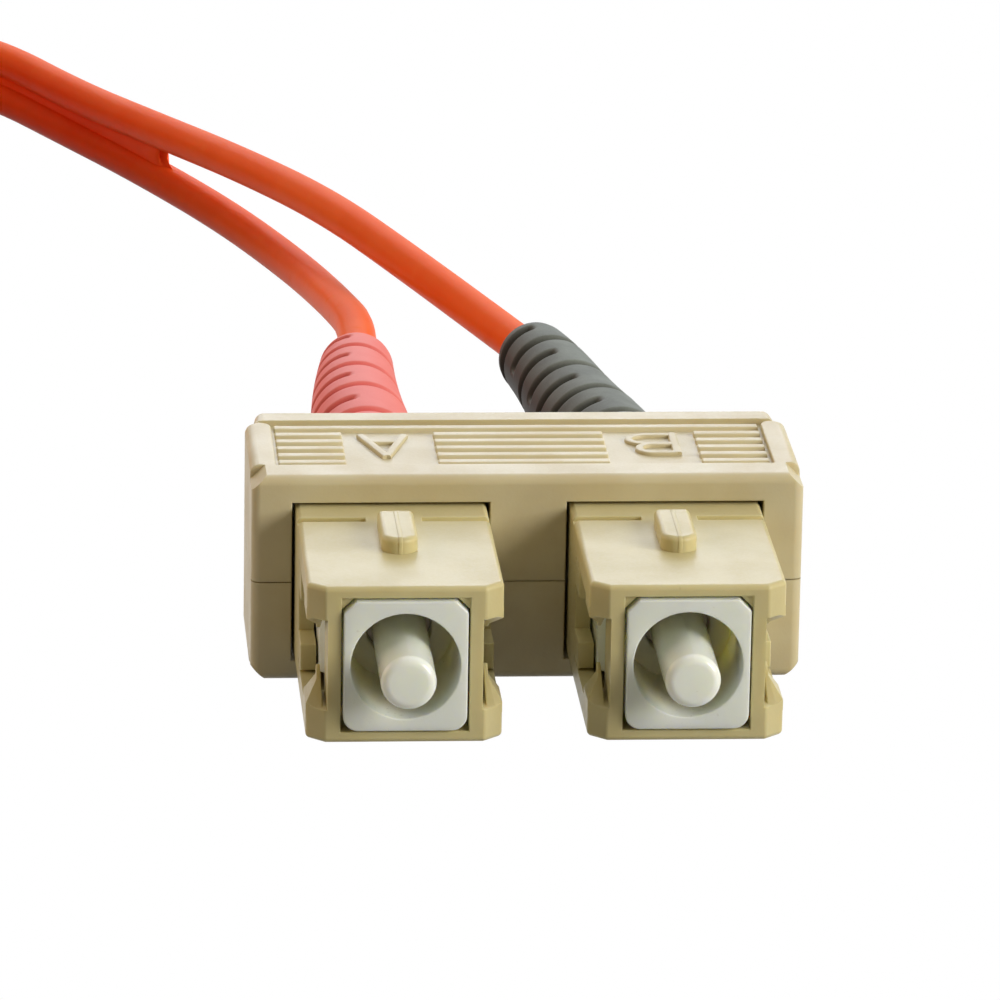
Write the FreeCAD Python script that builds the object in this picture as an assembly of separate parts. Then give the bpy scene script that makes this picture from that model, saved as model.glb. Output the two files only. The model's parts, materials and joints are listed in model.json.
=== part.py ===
import FreeCAD, Part
import math
import os

V = FreeCAD.Vector

# A duplex fibre patch lead: two push-pull plugs in a clip on each end, joined by a twin cord.
#
# Driving dimensions, in millimetres.
# In a plug's own frame, y is 0 at the clip's front face and grows towards the cord, and x and z are
# measured from the plug's axis. Lengths called REACH lie ahead of the clip's face, the others behind it.

# Layout
PITCH = 12.7
FAR_X = -61.45

# Duplex clip
CLIP_W = 25.6
CLIP_DEPTH = 10.6
CLIP_UPPER_H = 5.1
CLIP_LOWER_H = 4.8
CLIP_ROUND = 0.45
CLIP_CORNER_CUT = 0.7
CLIP_NECK_Y = 8.6
CLIP_NECK_CUT = 0.4
CLIP_BACK_CUT = 0.55
SPLIT_GAP = 0.06
POCKET_GAP = 0.15
PANEL_SIDE_RIM = 1.2
PANEL_FRONT_RIM = 2.0
PANEL_BACK_RIM = 1.55
PANEL_DEPTH = 0.3
VALLEY_W = 0.3
RIDGE_COUNT = 6
RIDGE_FIRST_Y = 2.82
RIDGE_STEP = 1.09
RIDGE_W = 0.7
RIDGE_TOP_W = 0.5
RIDGE_H = 0.2
RIDGE_END_GAP = 0.15
BARE_FIELD_X = 6.15
BARE_FIELD_W = 4.3
PEG_D = 1.6
PEG_LENGTH = 2.0
PEG_INSET = 3.2
PEG_CLEARANCE = 0.05

# Sliding grip housing
HOUSING_W = 8.85
HOUSING_H = 7.35
HOUSING_REACH = 12.1
HOUSING_TAIL = 12.5
HOUSING_ROUND = 0.25
GUSSET_SETBACK = 0.2
NOSE_CUT_X = 0.82
NOSE_CUT_Y = 0.75
NOSE_LENGTH = 2.9
POST_T = 0.6
CHANNEL_H = 4.2
WINDOW_H = 4.8
WINDOW_REACH = 3.8
TONGUE_LENGTH = 2.1
TONGUE_H = 1.25
TONGUE_RISE = 1.05
CAM_START = 0.5
CAM_RISE = 1.25
CAM_T = 0.2
CAM_GAP = 0.2
CAM_FLANK_RISE = 0.8
CAM_OUTER_RISE = 0.1
CAM_ROOT = 0.4
KEY_W = 1.65
KEY_H = 0.75
KEY_REACH = 7.3
KEY_LENGTH = 4.4
KEY_ROUND = 0.25
TOP_GROOVE_REACH = 2.0
TOP_GROOVE_W = 0.6
TOP_GROOVE_DEPTH = 0.25
TOP_GROOVE_BREAK = 2.6
LOCK_Y = 5.0
LOCK_LENGTH = 1.4
LOCK_H = 0.45
LOCK_W = 7.2
LIP_H = 0.25
LIP_LENGTH = 0.6
LIP_W = 5.0
LIP_GAP = 1.7
SLIDE_CLEARANCE = 0.1

# Inner plug frame
FRAME_W = 5.58
FRAME_H = 6.1
FRAME_PROUD = 0.2
FRAME_TAIL = 5.7
FRAME_TOP_CUT = 0.55
FRAME_BOTTOM_R = 0.7
SHOULDER_W = 7.2
SHOULDER_H = 4.4
SHOULDER_REACH = 7.2
SHOULDER_RAMP = 0.8
MOUTH_D = 4.95
MOUTH_DEPTH = 5.6
SEAT_WALL = 1.0
SEAT_HOLE_D = 3.0
BARREL_D = 4.9
LUG_WINDOW_Y = 2.6
LUG_WINDOW_LENGTH = 1.6
LUG_WINDOW_H = 2.0

# Ferrule and its flange
FERRULE_D = 2.5
FERRULE_LENGTH = 10.5
FERRULE_OUT = 2.5
FERRULE_ROUND = 0.4
FLANGE_D = 4.5
FLANGE_LENGTH = 2.95
FLANGE_KEYWAY_W = 1.0
FLANGE_KEYWAY_DEPTH = 0.4
TAIL_D = 3.0
TAIL_LENGTH = 5.4
FIBRE_D = 0.9
FIBRE_CLEARANCE = 0.2
SEAT_GAP = 0.05
PRESS_GAP = 0.01

# Spring behind the flange
SPRING_D = 4.4
SPRING_WIRE = 0.45
SPRING_TURNS = 5
SPRING_STATIONS = 16
SPRING_SIDES = 6
SPRING_END_GAP = 0.03

# Stop ring that closes the frame and carries the crimp
STOP_Y = 2.2
STOP_CLEARANCE = 0.1
STOP_COLLAR_D = 5.4
STOP_COLLAR_LENGTH = 1.25
STOP_BARREL_D = 3.2
STOP_BARREL_LENGTH = 6.0
STOP_BORE_CLEARANCE = 0.2
STOP_BORE_DEPTH = 4.0
LUG_H = 0.85
LUG_CLEARANCE = 0.1
KNURL_COUNT = 4
KNURL_DEPTH = 0.15

# Crimp sleeve
CRIMP_YARN_T = 0.2
CRIMP_WALL = 0.3
CRIMP_START_GAP = 0.6
CRIMP_STEP = 0.8
CRIMP_NECK_WALL = 0.45
CRIMP_NECK_LENGTH = 4.0
CRIMP_NECK_CLEARANCE = 0.05

# Strain relief boot
BOOT_D = 5.0
BOOT_TIP_D = 3.8
BOOT_START_GAP = 1.4
BOOT_STRAIGHT = 23.5
BOOT_TIP = 36.0
BOOT_TIP_CUT = 0.3
BOOT_BORE_CLEARANCE = 0.1
BOOT_TIP_CLEARANCE = 0.04
BOOT_STATIONS = 8
SLOT_TIP_GAP = 1.35
SLOT_PITCH = 2.15
SLOT_COUNT = 10
SLOT_W = 0.5
SLOT_DEPTH = 0.45
SLOT_TOP_FROM = 5.0
SLOT_TOP_SPAN = 180.0
SLOT_SIDE_FROM = -85.0
SLOT_SIDE_SPAN = 167.0
SLOT_CORE_WALL = 0.2

# Twin cord
STRAND_D = 2.0
STRAND_STEP = 2.05
JACKET_Y = 14.5
COIL_X = -49.8
COIL_Y = 88.0
COIL_OUTER_R = 23.5
COIL_PITCH = 2.05
COIL_TURNS = 6.25
COIL_LAYERS = 2
COIL_ROUNDING = 0.9
TIE_W = 4.0
TIE_T = 0.5
TIE_CLEARANCE = 0.05
TIE_ANGLE = 270.0
TABLE_GAP = 0.05

# Values worked out from the sizes above.
FERRULE_TIP = -HOUSING_REACH - FRAME_PROUD - FERRULE_OUT
FACE_Y = -(FERRULE_TIP + BOOT_TIP) / 2
AXIS_Z = CLIP_LOWER_H
HOUSING_FRONT = -HOUSING_REACH
FRAME_FRONT = HOUSING_FRONT - FRAME_PROUD
NOSE_BACK = HOUSING_FRONT + NOSE_LENGTH
MOUTH_FLOOR = FRAME_FRONT + MOUTH_DEPTH
SEAT_Y = MOUTH_FLOOR + SEAT_WALL
FLANGE_FRONT = SEAT_Y + SEAT_GAP
FLANGE_BACK = FLANGE_FRONT + FLANGE_LENGTH
FERRULE_BACK = FERRULE_TIP + FERRULE_LENGTH
STOP_COLLAR_Y = FRAME_TAIL + SEAT_GAP
STOP_BARREL_Y = STOP_COLLAR_Y + STOP_COLLAR_LENGTH
STOP_BACK = STOP_BARREL_Y + STOP_BARREL_LENGTH
CRIMP_FRONT = STOP_BARREL_Y + CRIMP_START_GAP
CRIMP_INNER_R = STOP_BARREL_D / 2 + CRIMP_YARN_T
CRIMP_OUTER_R = CRIMP_INNER_R + CRIMP_WALL
CRIMP_SHOULDER = STOP_BACK + CRIMP_YARN_T
CRIMP_NECK_Y = CRIMP_SHOULDER + CRIMP_STEP
CRIMP_BACK = CRIMP_NECK_Y + CRIMP_NECK_LENGTH
CRIMP_NECK_BORE_R = STRAND_D / 2 + CRIMP_NECK_CLEARANCE
CRIMP_NECK_R = CRIMP_NECK_BORE_R + CRIMP_NECK_WALL
BOOT_FRONT = STOP_BARREL_Y + BOOT_START_GAP
FIBRE_BORE_R = FIBRE_D / 2 + FIBRE_CLEARANCE
CAVITY_W = SHOULDER_W + 2 * SLIDE_CLEARANCE
CAVITY_H = FRAME_H + 2 * SLIDE_CLEARANCE
POST_OUTER_X = FRAME_W / 2 + SLIDE_CLEARANCE + POST_T
STRAND_FLOOR_Z = STRAND_D / 2 + TABLE_GAP
PANEL_W = CLIP_W - 2 * PANEL_SIDE_RIM
COIL_INNER_R = COIL_OUTER_R - COIL_PITCH * COIL_TURNS / COIL_LAYERS
COIL_BOTTOM = TIE_T + TIE_CLEARANCE
COIL_TOP = COIL_BOTTOM + 2 * COIL_LAYERS * STRAND_STEP
CHANNELS = {"a": -PITCH / 2, "b": PITCH / 2}
ENDS = {"near": 0.0, "far": FAR_X}


# Basic forms
def block(x0, x1, y0, y1, z0, z1):
    """A box between two opposite corners."""
    return Part.makeBox(x1 - x0, y1 - y0, z1 - z0, V(x0, y0, z0))


def centred(width, y0, y1, height):
    """A box centred on the plug's axis."""
    return block(-width / 2, width / 2, y0, y1, -height / 2, height / 2)


def rod(radius, y0, y1):
    """A cylinder along the plug's axis."""
    return Part.makeCylinder(radius, y1 - y0, V(0, y0, 0), V(0, 1, 0))


def turned(outline):
    """A turned piece: an outline of (radius, y) corners, revolved about the plug's axis."""
    corners = [V(radius, y, 0) for radius, y in outline]
    return Part.Face(Part.makePolygon(corners + corners[:1])).revolve(V(), V(0, 1, 0), 360)


def prism(corners, along):
    """A flat polygon pushed along a vector."""
    return Part.Face(Part.makePolygon(corners + corners[:1])).extrude(along)


def both_sides(shape):
    """A shape and its mirror image across the plug's upright plane."""
    return [shape, shape.mirror(V(), V(1, 0, 0))]


def above_and_below(shapes):
    """Shapes and their mirror images across the plug's level plane."""
    return shapes + [shape.mirror(V(), V(0, 0, 1)) for shape in shapes]


def rounded(shape, radius, stays_sharp):
    """A shape with its edges rounded, apart from those whose ends all pass a test."""
    edges = [edge for edge in shape.Edges if not all(stays_sharp(end.Point) for end in edge.Vertexes)]
    return shape.makeFillet(radius, edges)


# Sliding grip housing
def housing():
    """Outer shell with chamfered nose, latch windows, cams and key, cut out round the plug frame."""
    half_w = HOUSING_W / 2
    half_h = HOUSING_H / 2
    nose_y = HOUSING_FRONT + NOSE_CUT_Y
    plan = [
        V(NOSE_CUT_X - half_w, HOUSING_FRONT, -half_h), V(half_w - NOSE_CUT_X, HOUSING_FRONT, -half_h),
        V(half_w, nose_y, -half_h), V(half_w, HOUSING_TAIL, -half_h),
        V(-half_w, HOUSING_TAIL, -half_h), V(-half_w, nose_y, -half_h),
    ]
    shell = rounded(
        prism(plan, V(0, 0, HOUSING_H)), HOUSING_ROUND, lambda point: math.isclose(point.y, HOUSING_TAIL)
    )
    cavity = centred(CAVITY_W, NOSE_BACK, HOUSING_TAIL, CAVITY_H)
    channel = block(POST_OUTER_X, half_w, HOUSING_FRONT, NOSE_BACK, -CHANNEL_H / 2, CHANNEL_H / 2)
    window = block(0, half_w, NOSE_BACK, -WINDOW_REACH, -WINDOW_H / 2, WINDOW_H / 2)
    groove = block(
        TOP_GROOVE_BREAK / 2, half_w,
        -TOP_GROOVE_REACH - TOP_GROOVE_W / 2, -TOP_GROOVE_REACH + TOP_GROOVE_W / 2,
        half_h - TOP_GROOVE_DEPTH, half_h,
    )
    side_cuts = [side for cut_out in (channel, window, groove) for side in both_sides(cut_out)]
    shell = shell.cut(mouth() + [cavity] + side_cuts)

    tongue = block(
        CAVITY_W / 2, half_w,
        -WINDOW_REACH - TONGUE_LENGTH, -WINDOW_REACH, TONGUE_RISE, TONGUE_RISE + TONGUE_H,
    )
    lock_floor = (half_h + CAVITY_H / 2) / 2
    lock = block(-LOCK_W / 2, LOCK_W / 2, LOCK_Y, LOCK_Y + LOCK_LENGTH, lock_floor, half_h + LOCK_H)
    lip_y = FRAME_TAIL + LIP_GAP
    lip = block(-LIP_W / 2, LIP_W / 2, lip_y, lip_y + LIP_LENGTH, CAVITY_H / 2 - LIP_H, lock_floor)
    sided = [side for piece in [tongue] + cams() for side in both_sides(piece)]
    return shell.multiFuse([key()] + above_and_below(sided + [lock, lip])).removeSplitter()


def mouth():
    """Front opening round the plug frame: square at the face, with gussets behind in its upper corners."""
    half_w = FRAME_W / 2 + SLIDE_CLEARANCE
    half_h = CAVITY_H / 2
    gusset = FRAME_TOP_CUT + SLIDE_CLEARANCE * (2 - math.sqrt(2))
    corners = [
        V(-half_w, HOUSING_FRONT, -half_h), V(half_w, HOUSING_FRONT, -half_h),
        V(half_w, HOUSING_FRONT, half_h - gusset), V(half_w - gusset, HOUSING_FRONT, half_h),
        V(gusset - half_w, HOUSING_FRONT, half_h), V(-half_w, HOUSING_FRONT, half_h - gusset),
    ]
    rim = centred(2 * half_w, HOUSING_FRONT, HOUSING_FRONT + GUSSET_SETBACK, CAVITY_H)
    return [rim, prism(corners, V(0, NOSE_LENGTH, 0))]


def key():
    """Key on top of the housing, with a half-round nose and soft upper edges."""
    half = KEY_W / 2
    front = half - KEY_REACH
    back = KEY_LENGTH - KEY_REACH
    floor = HOUSING_H / 2 - TOP_GROOVE_DEPTH
    left, right = V(-half, front, floor), V(half, front, floor)
    outline = [
        Part.Arc(left, V(0, -KEY_REACH, floor), right).toShape(),
        Part.LineSegment(right, V(half, back, floor)).toShape(),
        Part.LineSegment(V(half, back, floor), V(-half, back, floor)).toShape(),
        Part.LineSegment(V(-half, back, floor), left).toShape(),
    ]
    top = HOUSING_H / 2 + KEY_H
    bar = Part.Face(Part.Wire(outline)).extrude(V(0, 0, top - floor))
    return rounded(bar, KEY_ROUND, lambda point: point.z < top - KEY_ROUND)


def cams():
    """Release cam under the upper nose bracket: a blade that deepens backwards, with a sloping flank."""
    root = CHANNEL_H / 2
    start = HOUSING_FRONT + CAM_START
    blade_x = POST_OUTER_X + CAM_GAP
    flank_x = blade_x + CAM_T
    outer_x = HOUSING_W / 2
    section = prism(
        [
            V(blade_x, start, root + CAM_ROOT), V(blade_x, start, root - CAM_RISE),
            V(flank_x, start, root - CAM_RISE), V(flank_x, start, root - CAM_FLANK_RISE),
            V(outer_x, start, root - CAM_OUTER_RISE), V(outer_x, start, root + CAM_ROOT),
        ],
        V(0, NOSE_BACK - start, 0),
    )
    ramp = prism(
        [
            V(blade_x, start, root + CAM_ROOT), V(blade_x, start, root),
            V(blade_x, NOSE_BACK, root - CAM_RISE), V(blade_x, NOSE_BACK, root + CAM_ROOT),
        ],
        V(outer_x - blade_x, 0, 0),
    )
    nose_corner = prism(
        [
            V(outer_x - NOSE_CUT_X, HOUSING_FRONT, 0), V(outer_x, HOUSING_FRONT, 0),
            V(outer_x, HOUSING_FRONT + NOSE_CUT_Y, 0),
        ],
        V(0, 0, HOUSING_H),
    )
    return [section.common(ramp).cut(nose_corner)]


# Inner plug frame
def plug_frame():
    """White inner body: a soft-cornered bar with latch shoulders, bored from both ends."""
    half_w = FRAME_W / 2
    half_h = FRAME_H / 2
    cut = FRAME_TOP_CUT
    r = FRAME_BOTTOM_R
    diagonal = r * (1 - math.sqrt(0.5))

    def at(x, z):
        return V(x, FRAME_FRONT, z)

    corners = [
        at(r - half_w, -half_h), at(-half_w, r - half_h),
        at(-half_w, half_h - cut), at(cut - half_w, half_h),
        at(half_w - cut, half_h), at(half_w, half_h - cut),
        at(half_w, r - half_h), at(half_w - r, -half_h),
    ]
    edges = [Part.LineSegment(a, b).toShape() for a, b in zip(corners[1:-1], corners[2:])][:-1]
    edges.insert(0, Part.Arc(corners[0], at(diagonal - half_w, diagonal - half_h), corners[1]).toShape())
    edges.append(Part.Arc(corners[6], at(half_w - diagonal, diagonal - half_h), corners[7]).toShape())
    edges.append(Part.LineSegment(corners[7], corners[0]).toShape())
    bar = Part.Face(Part.Wire(edges)).extrude(V(0, FRAME_TAIL - FRAME_FRONT, 0))

    shoulder = prism(
        [
            V(0, -SHOULDER_REACH, -SHOULDER_H / 2),
            V(half_w, -SHOULDER_REACH, -SHOULDER_H / 2),
            V(SHOULDER_W / 2, SHOULDER_RAMP - SHOULDER_REACH, -SHOULDER_H / 2),
            V(SHOULDER_W / 2, FRAME_TAIL, -SHOULDER_H / 2),
            V(0, FRAME_TAIL, -SHOULDER_H / 2),
        ],
        V(0, 0, SHOULDER_H),
    )
    lug_window = centred(
        SHOULDER_W, LUG_WINDOW_Y, LUG_WINDOW_Y + LUG_WINDOW_LENGTH, LUG_WINDOW_H
    )
    bores = [
        rod(MOUTH_D / 2, FRAME_FRONT, MOUTH_FLOOR),
        rod(SEAT_HOLE_D / 2, MOUTH_FLOOR, SEAT_Y),
        rod(BARREL_D / 2, SEAT_Y, FRAME_TAIL),
    ]
    return bar.multiFuse(both_sides(shoulder)).removeSplitter().cut(bores + [lug_window])


# Ferrule, flange, spring and fibre
def ferrule():
    """Ceramic cylinder with a rounded tip."""
    bar = rod(FERRULE_D / 2, FERRULE_TIP, FERRULE_BACK)
    return rounded(bar, FERRULE_ROUND, lambda point: not math.isclose(point.y, FERRULE_TIP))


def ferrule_flange():
    """Metal holder pressed on the ferrule, with two keyways and a hollow tail inside the spring."""
    r = FLANGE_D / 2
    grip_r = FERRULE_D / 2 + PRESS_GAP
    grip_end = FERRULE_BACK + SEAT_GAP
    tail_end = FLANGE_BACK + TAIL_LENGTH
    body = turned([
        (grip_r, FLANGE_FRONT), (r, FLANGE_FRONT), (r, FLANGE_BACK), (TAIL_D / 2, FLANGE_BACK),
        (TAIL_D / 2, tail_end), (FIBRE_BORE_R, tail_end), (FIBRE_BORE_R, grip_end), (grip_r, grip_end),
    ])
    keyway = block(
        -FLANGE_KEYWAY_W / 2, FLANGE_KEYWAY_W / 2, FLANGE_FRONT, FLANGE_BACK, r - FLANGE_KEYWAY_DEPTH, r
    )
    return body.cut(above_and_below([keyway]))


def spring():
    """Compression spring between the flange and the stop ring: a many-sided wire carried round a helix."""
    wire_r = SPRING_WIRE / 2
    start = FLANGE_BACK + SPRING_END_GAP + wire_r
    length = STOP_Y - SPRING_END_GAP - wire_r - start
    mean_r = SPRING_D / 2 - wire_r
    sides = [math.radians(360 * side / SPRING_SIDES) for side in range(SPRING_SIDES)]
    steps = SPRING_TURNS * SPRING_STATIONS
    sections = []
    for step in range(steps + 1):
        turn = math.radians(360 * step / SPRING_STATIONS)
        y = start + length * step / steps
        corners = [
            V(
                (mean_r + wire_r * math.cos(side)) * math.cos(turn),
                y + wire_r * math.sin(side),
                (mean_r + wire_r * math.cos(side)) * math.sin(turn),
            )
            for side in sides
        ]
        sections.append(Part.makePolygon(corners + corners[:1]))
    return Part.makeLoft(sections, True, True)


def buffered_fibre():
    """Coated fibre from the ferrule's back to the end of the jacket."""
    return rod(FIBRE_D / 2, FERRULE_BACK + SEAT_GAP, JACKET_Y)


# Stop ring and crimp
def stop_ring():
    """Rear body: a tube with two snap lugs, a collar behind the frame and a knurled crimp barrel."""
    front_r = BARREL_D / 2 - STOP_CLEARANCE
    barrel_r = STOP_BARREL_D / 2
    knurl_step = STOP_BARREL_LENGTH / (KNURL_COUNT + 1)
    knurls = []
    for count in range(KNURL_COUNT):
        y = STOP_BARREL_Y + (count + 1) * knurl_step
        knurls += [
            (barrel_r, y - 2 * KNURL_DEPTH), (barrel_r - KNURL_DEPTH, y - KNURL_DEPTH),
            (barrel_r - KNURL_DEPTH, y + KNURL_DEPTH), (barrel_r, y + 2 * KNURL_DEPTH),
        ]
    tail_bore_r = TAIL_D / 2 + STOP_BORE_CLEARANCE
    body = turned(
        [(tail_bore_r, STOP_Y), (front_r, STOP_Y), (front_r, STOP_COLLAR_Y),
         (STOP_COLLAR_D / 2, STOP_COLLAR_Y), (STOP_COLLAR_D / 2, STOP_BARREL_Y), (barrel_r, STOP_BARREL_Y)]
        + knurls
        + [(barrel_r, STOP_BACK), (FIBRE_BORE_R, STOP_BACK), (FIBRE_BORE_R, STOP_Y + STOP_BORE_DEPTH),
           (tail_bore_r, STOP_Y + STOP_BORE_DEPTH)]
    )
    lug = block(
        tail_bore_r, BARREL_D / 2 + LUG_H,
        LUG_WINDOW_Y + LUG_CLEARANCE, LUG_WINDOW_Y + LUG_WINDOW_LENGTH - LUG_CLEARANCE,
        LUG_CLEARANCE - LUG_WINDOW_H / 2, LUG_WINDOW_H / 2 - LUG_CLEARANCE,
    )
    bore = rod(tail_bore_r, STOP_Y, STOP_Y + STOP_BORE_DEPTH)
    return body.multiFuse(both_sides(lug)).cut(bore)


def crimp_sleeve():
    """Stepped metal tube: its wide part grips the yarn on the barrel, its neck grips the jacket."""
    return turned([
        (CRIMP_INNER_R, CRIMP_FRONT), (CRIMP_OUTER_R, CRIMP_FRONT), (CRIMP_OUTER_R, CRIMP_SHOULDER),
        (CRIMP_NECK_R, CRIMP_NECK_Y), (CRIMP_NECK_R, CRIMP_BACK), (CRIMP_NECK_BORE_R, CRIMP_BACK),
        (CRIMP_NECK_BORE_R, CRIMP_NECK_Y), (CRIMP_INNER_R, CRIMP_SHOULDER),
    ])


# Routes: straight runs joined by tangent arcs
ARC_SHARE = 0.45


def route_edges(points):
    """Line and arc edges along the points, and the radius of each arc."""
    edges = []
    radii = []
    at = points[0]
    for before, corner, after in zip(points, points[1:], points[2:]):
        run_in = corner.sub(before)
        run_out = after.sub(corner)
        reach = ARC_SHARE * min(run_in.Length, run_out.Length)
        half_turn = run_in.getAngle(run_out) / 2
        radius = reach / math.tan(half_turn)
        run_in.normalize()
        run_out.normalize()
        inward = run_out.sub(run_in).normalize()
        start = corner.sub(run_in.multiply(reach))
        end = corner.add(run_out.multiply(reach))
        middle = corner.add(inward.multiply(radius * (1 / math.cos(half_turn) - 1)))
        edges += [Part.LineSegment(at, start).toShape(), Part.Arc(start, middle, end).toShape()]
        radii.append(radius)
        at = end
    edges.append(Part.LineSegment(at, points[-1]).toShape())
    return edges, radii


def along(edges, distance):
    """The point and direction at a distance along a route; before its start, the first run is extended."""
    if distance < 0:
        direction = edges[0].tangentAt(edges[0].FirstParameter)
        return edges[0].valueAt(edges[0].FirstParameter).add(direction * distance), direction
    for edge in edges:
        if distance <= edge.Length:
            place = edge.getParameterByLength(distance)
            return edge.valueAt(place), edge.tangentAt(place)
        distance -= edge.Length
    raise ValueError("the route is too short")


def pipe(edges, radius):
    """A round tube along a route."""
    ring = Part.Wire(Part.makeCircle(radius, edges[0].valueAt(edges[0].FirstParameter), V(0, 1, 0)))
    return Part.Wire(edges).makePipeShell([ring], True, False)


def facing(point, direction):
    """Placement whose z runs along the direction, with x to the left and y upwards."""
    left = V(0, 0, 1).cross(direction).normalize()
    up = direction.cross(left)
    return FreeCAD.Placement(point, FreeCAD.Rotation(left, up, direction, "ZXY"))


# Strain relief boot
def boot_radius(y):
    """Outer radius of a boot: level, then a plain taper to the tip."""
    share = max(0.0, (y - BOOT_STRAIGHT) / (BOOT_TIP - BOOT_STRAIGHT))
    return BOOT_D / 2 - (BOOT_D - BOOT_TIP_D) / 2 * share


def boot(edges, x, end_x):
    """Tapered sleeve along the start of a strand, with half-ring slots that take turns round it."""
    bend_step = (BOOT_TIP - BOOT_TIP_CUT - CRIMP_BACK) / (BOOT_STATIONS - 1)
    stations = [BOOT_FRONT] + [CRIMP_BACK + count * bend_step for count in range(BOOT_STATIONS)]
    profile = [(y, boot_radius(y)) for y in stations] + [(BOOT_TIP, BOOT_TIP_D / 2 - BOOT_TIP_CUT)]
    rings = []
    for y, radius in profile:
        ring = Part.makeCircle(radius)
        ring.Placement = facing(*along(edges, y - JACKET_Y))
        rings.append(Part.Wire(ring))
    body = Part.makeLoft(rings, True, True)

    slots = []
    for count in range(SLOT_COUNT):
        y = BOOT_TIP - SLOT_TIP_GAP - count * SLOT_PITCH
        turns_up = count % 2 == 1
        start = SLOT_TOP_FROM if turns_up else SLOT_SIDE_FROM
        span = SLOT_TOP_SPAN if turns_up else SLOT_SIDE_SPAN
        bore_r = CRIMP_NECK_R + BOOT_BORE_CLEARANCE if y < CRIMP_BACK + SLOT_W else STRAND_D / 2
        core_r = max(boot_radius(y) - SLOT_DEPTH, bore_r + SLOT_CORE_WALL)
        slot = Part.makeCylinder(BOOT_D, SLOT_W, V(0, 0, -SLOT_W / 2), V(0, 0, 1), span)
        slot = slot.cut(Part.makeCylinder(core_r, SLOT_W, V(0, 0, -SLOT_W / 2)))
        slot.rotate(V(), V(0, 0, 1), start)
        slot.Placement = facing(*along(edges, y - JACKET_Y)).multiply(slot.Placement)
        slots.append(slot)

    crimp_r = CRIMP_OUTER_R + BOOT_BORE_CLEARANCE
    neck_r = CRIMP_NECK_R + BOOT_BORE_CLEARANCE
    neck_end = CRIMP_BACK + BOOT_BORE_CLEARANCE
    socket = turned([
        (0, BOOT_FRONT), (crimp_r, BOOT_FRONT), (crimp_r, CRIMP_SHOULDER + BOOT_BORE_CLEARANCE),
        (neck_r, CRIMP_NECK_Y + BOOT_BORE_CLEARANCE), (neck_r, neck_end), (0, neck_end),
    ])
    socket.translate(V(end_x + x, FACE_Y, AXIS_Z))
    bore = pipe(edges, STRAND_D / 2 + BOOT_TIP_CLEARANCE)
    return body.cut(slots).cut([socket, bore])


# Duplex clip
def clip_half(height):
    """One half of the clip, seen from its split plane upwards, with the grip panel on its outer face."""
    half_w = CLIP_W / 2
    right_side = [
        (half_w, 0), (half_w, CLIP_NECK_Y), (half_w - CLIP_NECK_CUT, CLIP_NECK_Y + CLIP_NECK_CUT),
        (half_w - CLIP_BACK_CUT, CLIP_DEPTH),
    ]
    plan = [V(x, y, SPLIT_GAP / 2) for x, y in right_side]
    plan += [V(-x, y, SPLIT_GAP / 2) for x, y in reversed(right_side)]
    body = rounded(
        prism(plan, V(0, 0, height - SPLIT_GAP / 2)), CLIP_ROUND,
        lambda point: math.isclose(point.z, SPLIT_GAP / 2),
    )

    # The panel runs out to the sides behind the round ends of the side rims.
    floor = height - PANEL_DEPTH
    panel_back = CLIP_DEPTH - PANEL_BACK_RIM
    rim_r = (half_w - PANEL_W / 2) / 2
    rim_y = panel_back - VALLEY_W - rim_r
    panel = block(-PANEL_W / 2, PANEL_W / 2, PANEL_FRONT_RIM, panel_back, floor, height)
    valley = block(PANEL_W / 2, half_w, rim_y, panel_back, floor, height)
    valley = valley.cut(Part.makeCylinder(rim_r, PANEL_DEPTH, V(half_w - rim_r, rim_y, floor)))
    cut = CLIP_CORNER_CUT
    corner = prism(
        [V(half_w, 0, height), V(half_w - cut, 0, height), V(half_w, 0, height - cut)],
        V(0, PANEL_FRONT_RIM, 0),
    )
    body = body.cut([panel] + both_sides(valley) + both_sides(corner))

    inner = BARE_FIELD_X - BARE_FIELD_W / 2
    outer = BARE_FIELD_X + BARE_FIELD_W / 2
    edge = PANEL_W / 2 - RIDGE_END_GAP
    ridges = []
    for count in range(RIDGE_COUNT):
        y = RIDGE_FIRST_Y + count * RIDGE_STEP
        whole = count == RIDGE_COUNT - 1
        for x0, x1 in ((-edge, edge),) if whole else ((-edge, -outer), (-inner, inner), (outer, edge)):
            ridges.append(prism(
                [
                    V(x0, y - RIDGE_W / 2, floor), V(x0, y - RIDGE_TOP_W / 2, floor + RIDGE_H),
                    V(x0, y + RIDGE_TOP_W / 2, floor + RIDGE_H), V(x0, y + RIDGE_W / 2, floor),
                ],
                V(x1 - x0, 0, 0),
            ))
    body = body.multiFuse(ridges)

    pockets = []
    for x in CHANNELS.values():
        pocket = centred(HOUSING_W + 2 * POCKET_GAP, 0, CLIP_DEPTH, HOUSING_H + 2 * POCKET_GAP)
        lock = centred(
            LOCK_W + 2 * POCKET_GAP, LOCK_Y - POCKET_GAP, LOCK_Y + LOCK_LENGTH + POCKET_GAP,
            HOUSING_H + 2 * (LOCK_H + POCKET_GAP),
        )
        pockets += [pocket.translated(V(x, 0, 0)), lock.translated(V(x, 0, 0))]
    return body.cut(pockets).removeSplitter()


def clip_upper():
    """Upper half, with two pegs on its middle web."""
    pegs = [
        Part.makeCylinder(PEG_D / 2, PEG_LENGTH + SPLIT_GAP, V(0, y, SPLIT_GAP / 2), V(0, 0, -1))
        for y in (PEG_INSET, CLIP_DEPTH - PEG_INSET)
    ]
    return clip_half(CLIP_UPPER_H).multiFuse(pegs)


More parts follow.
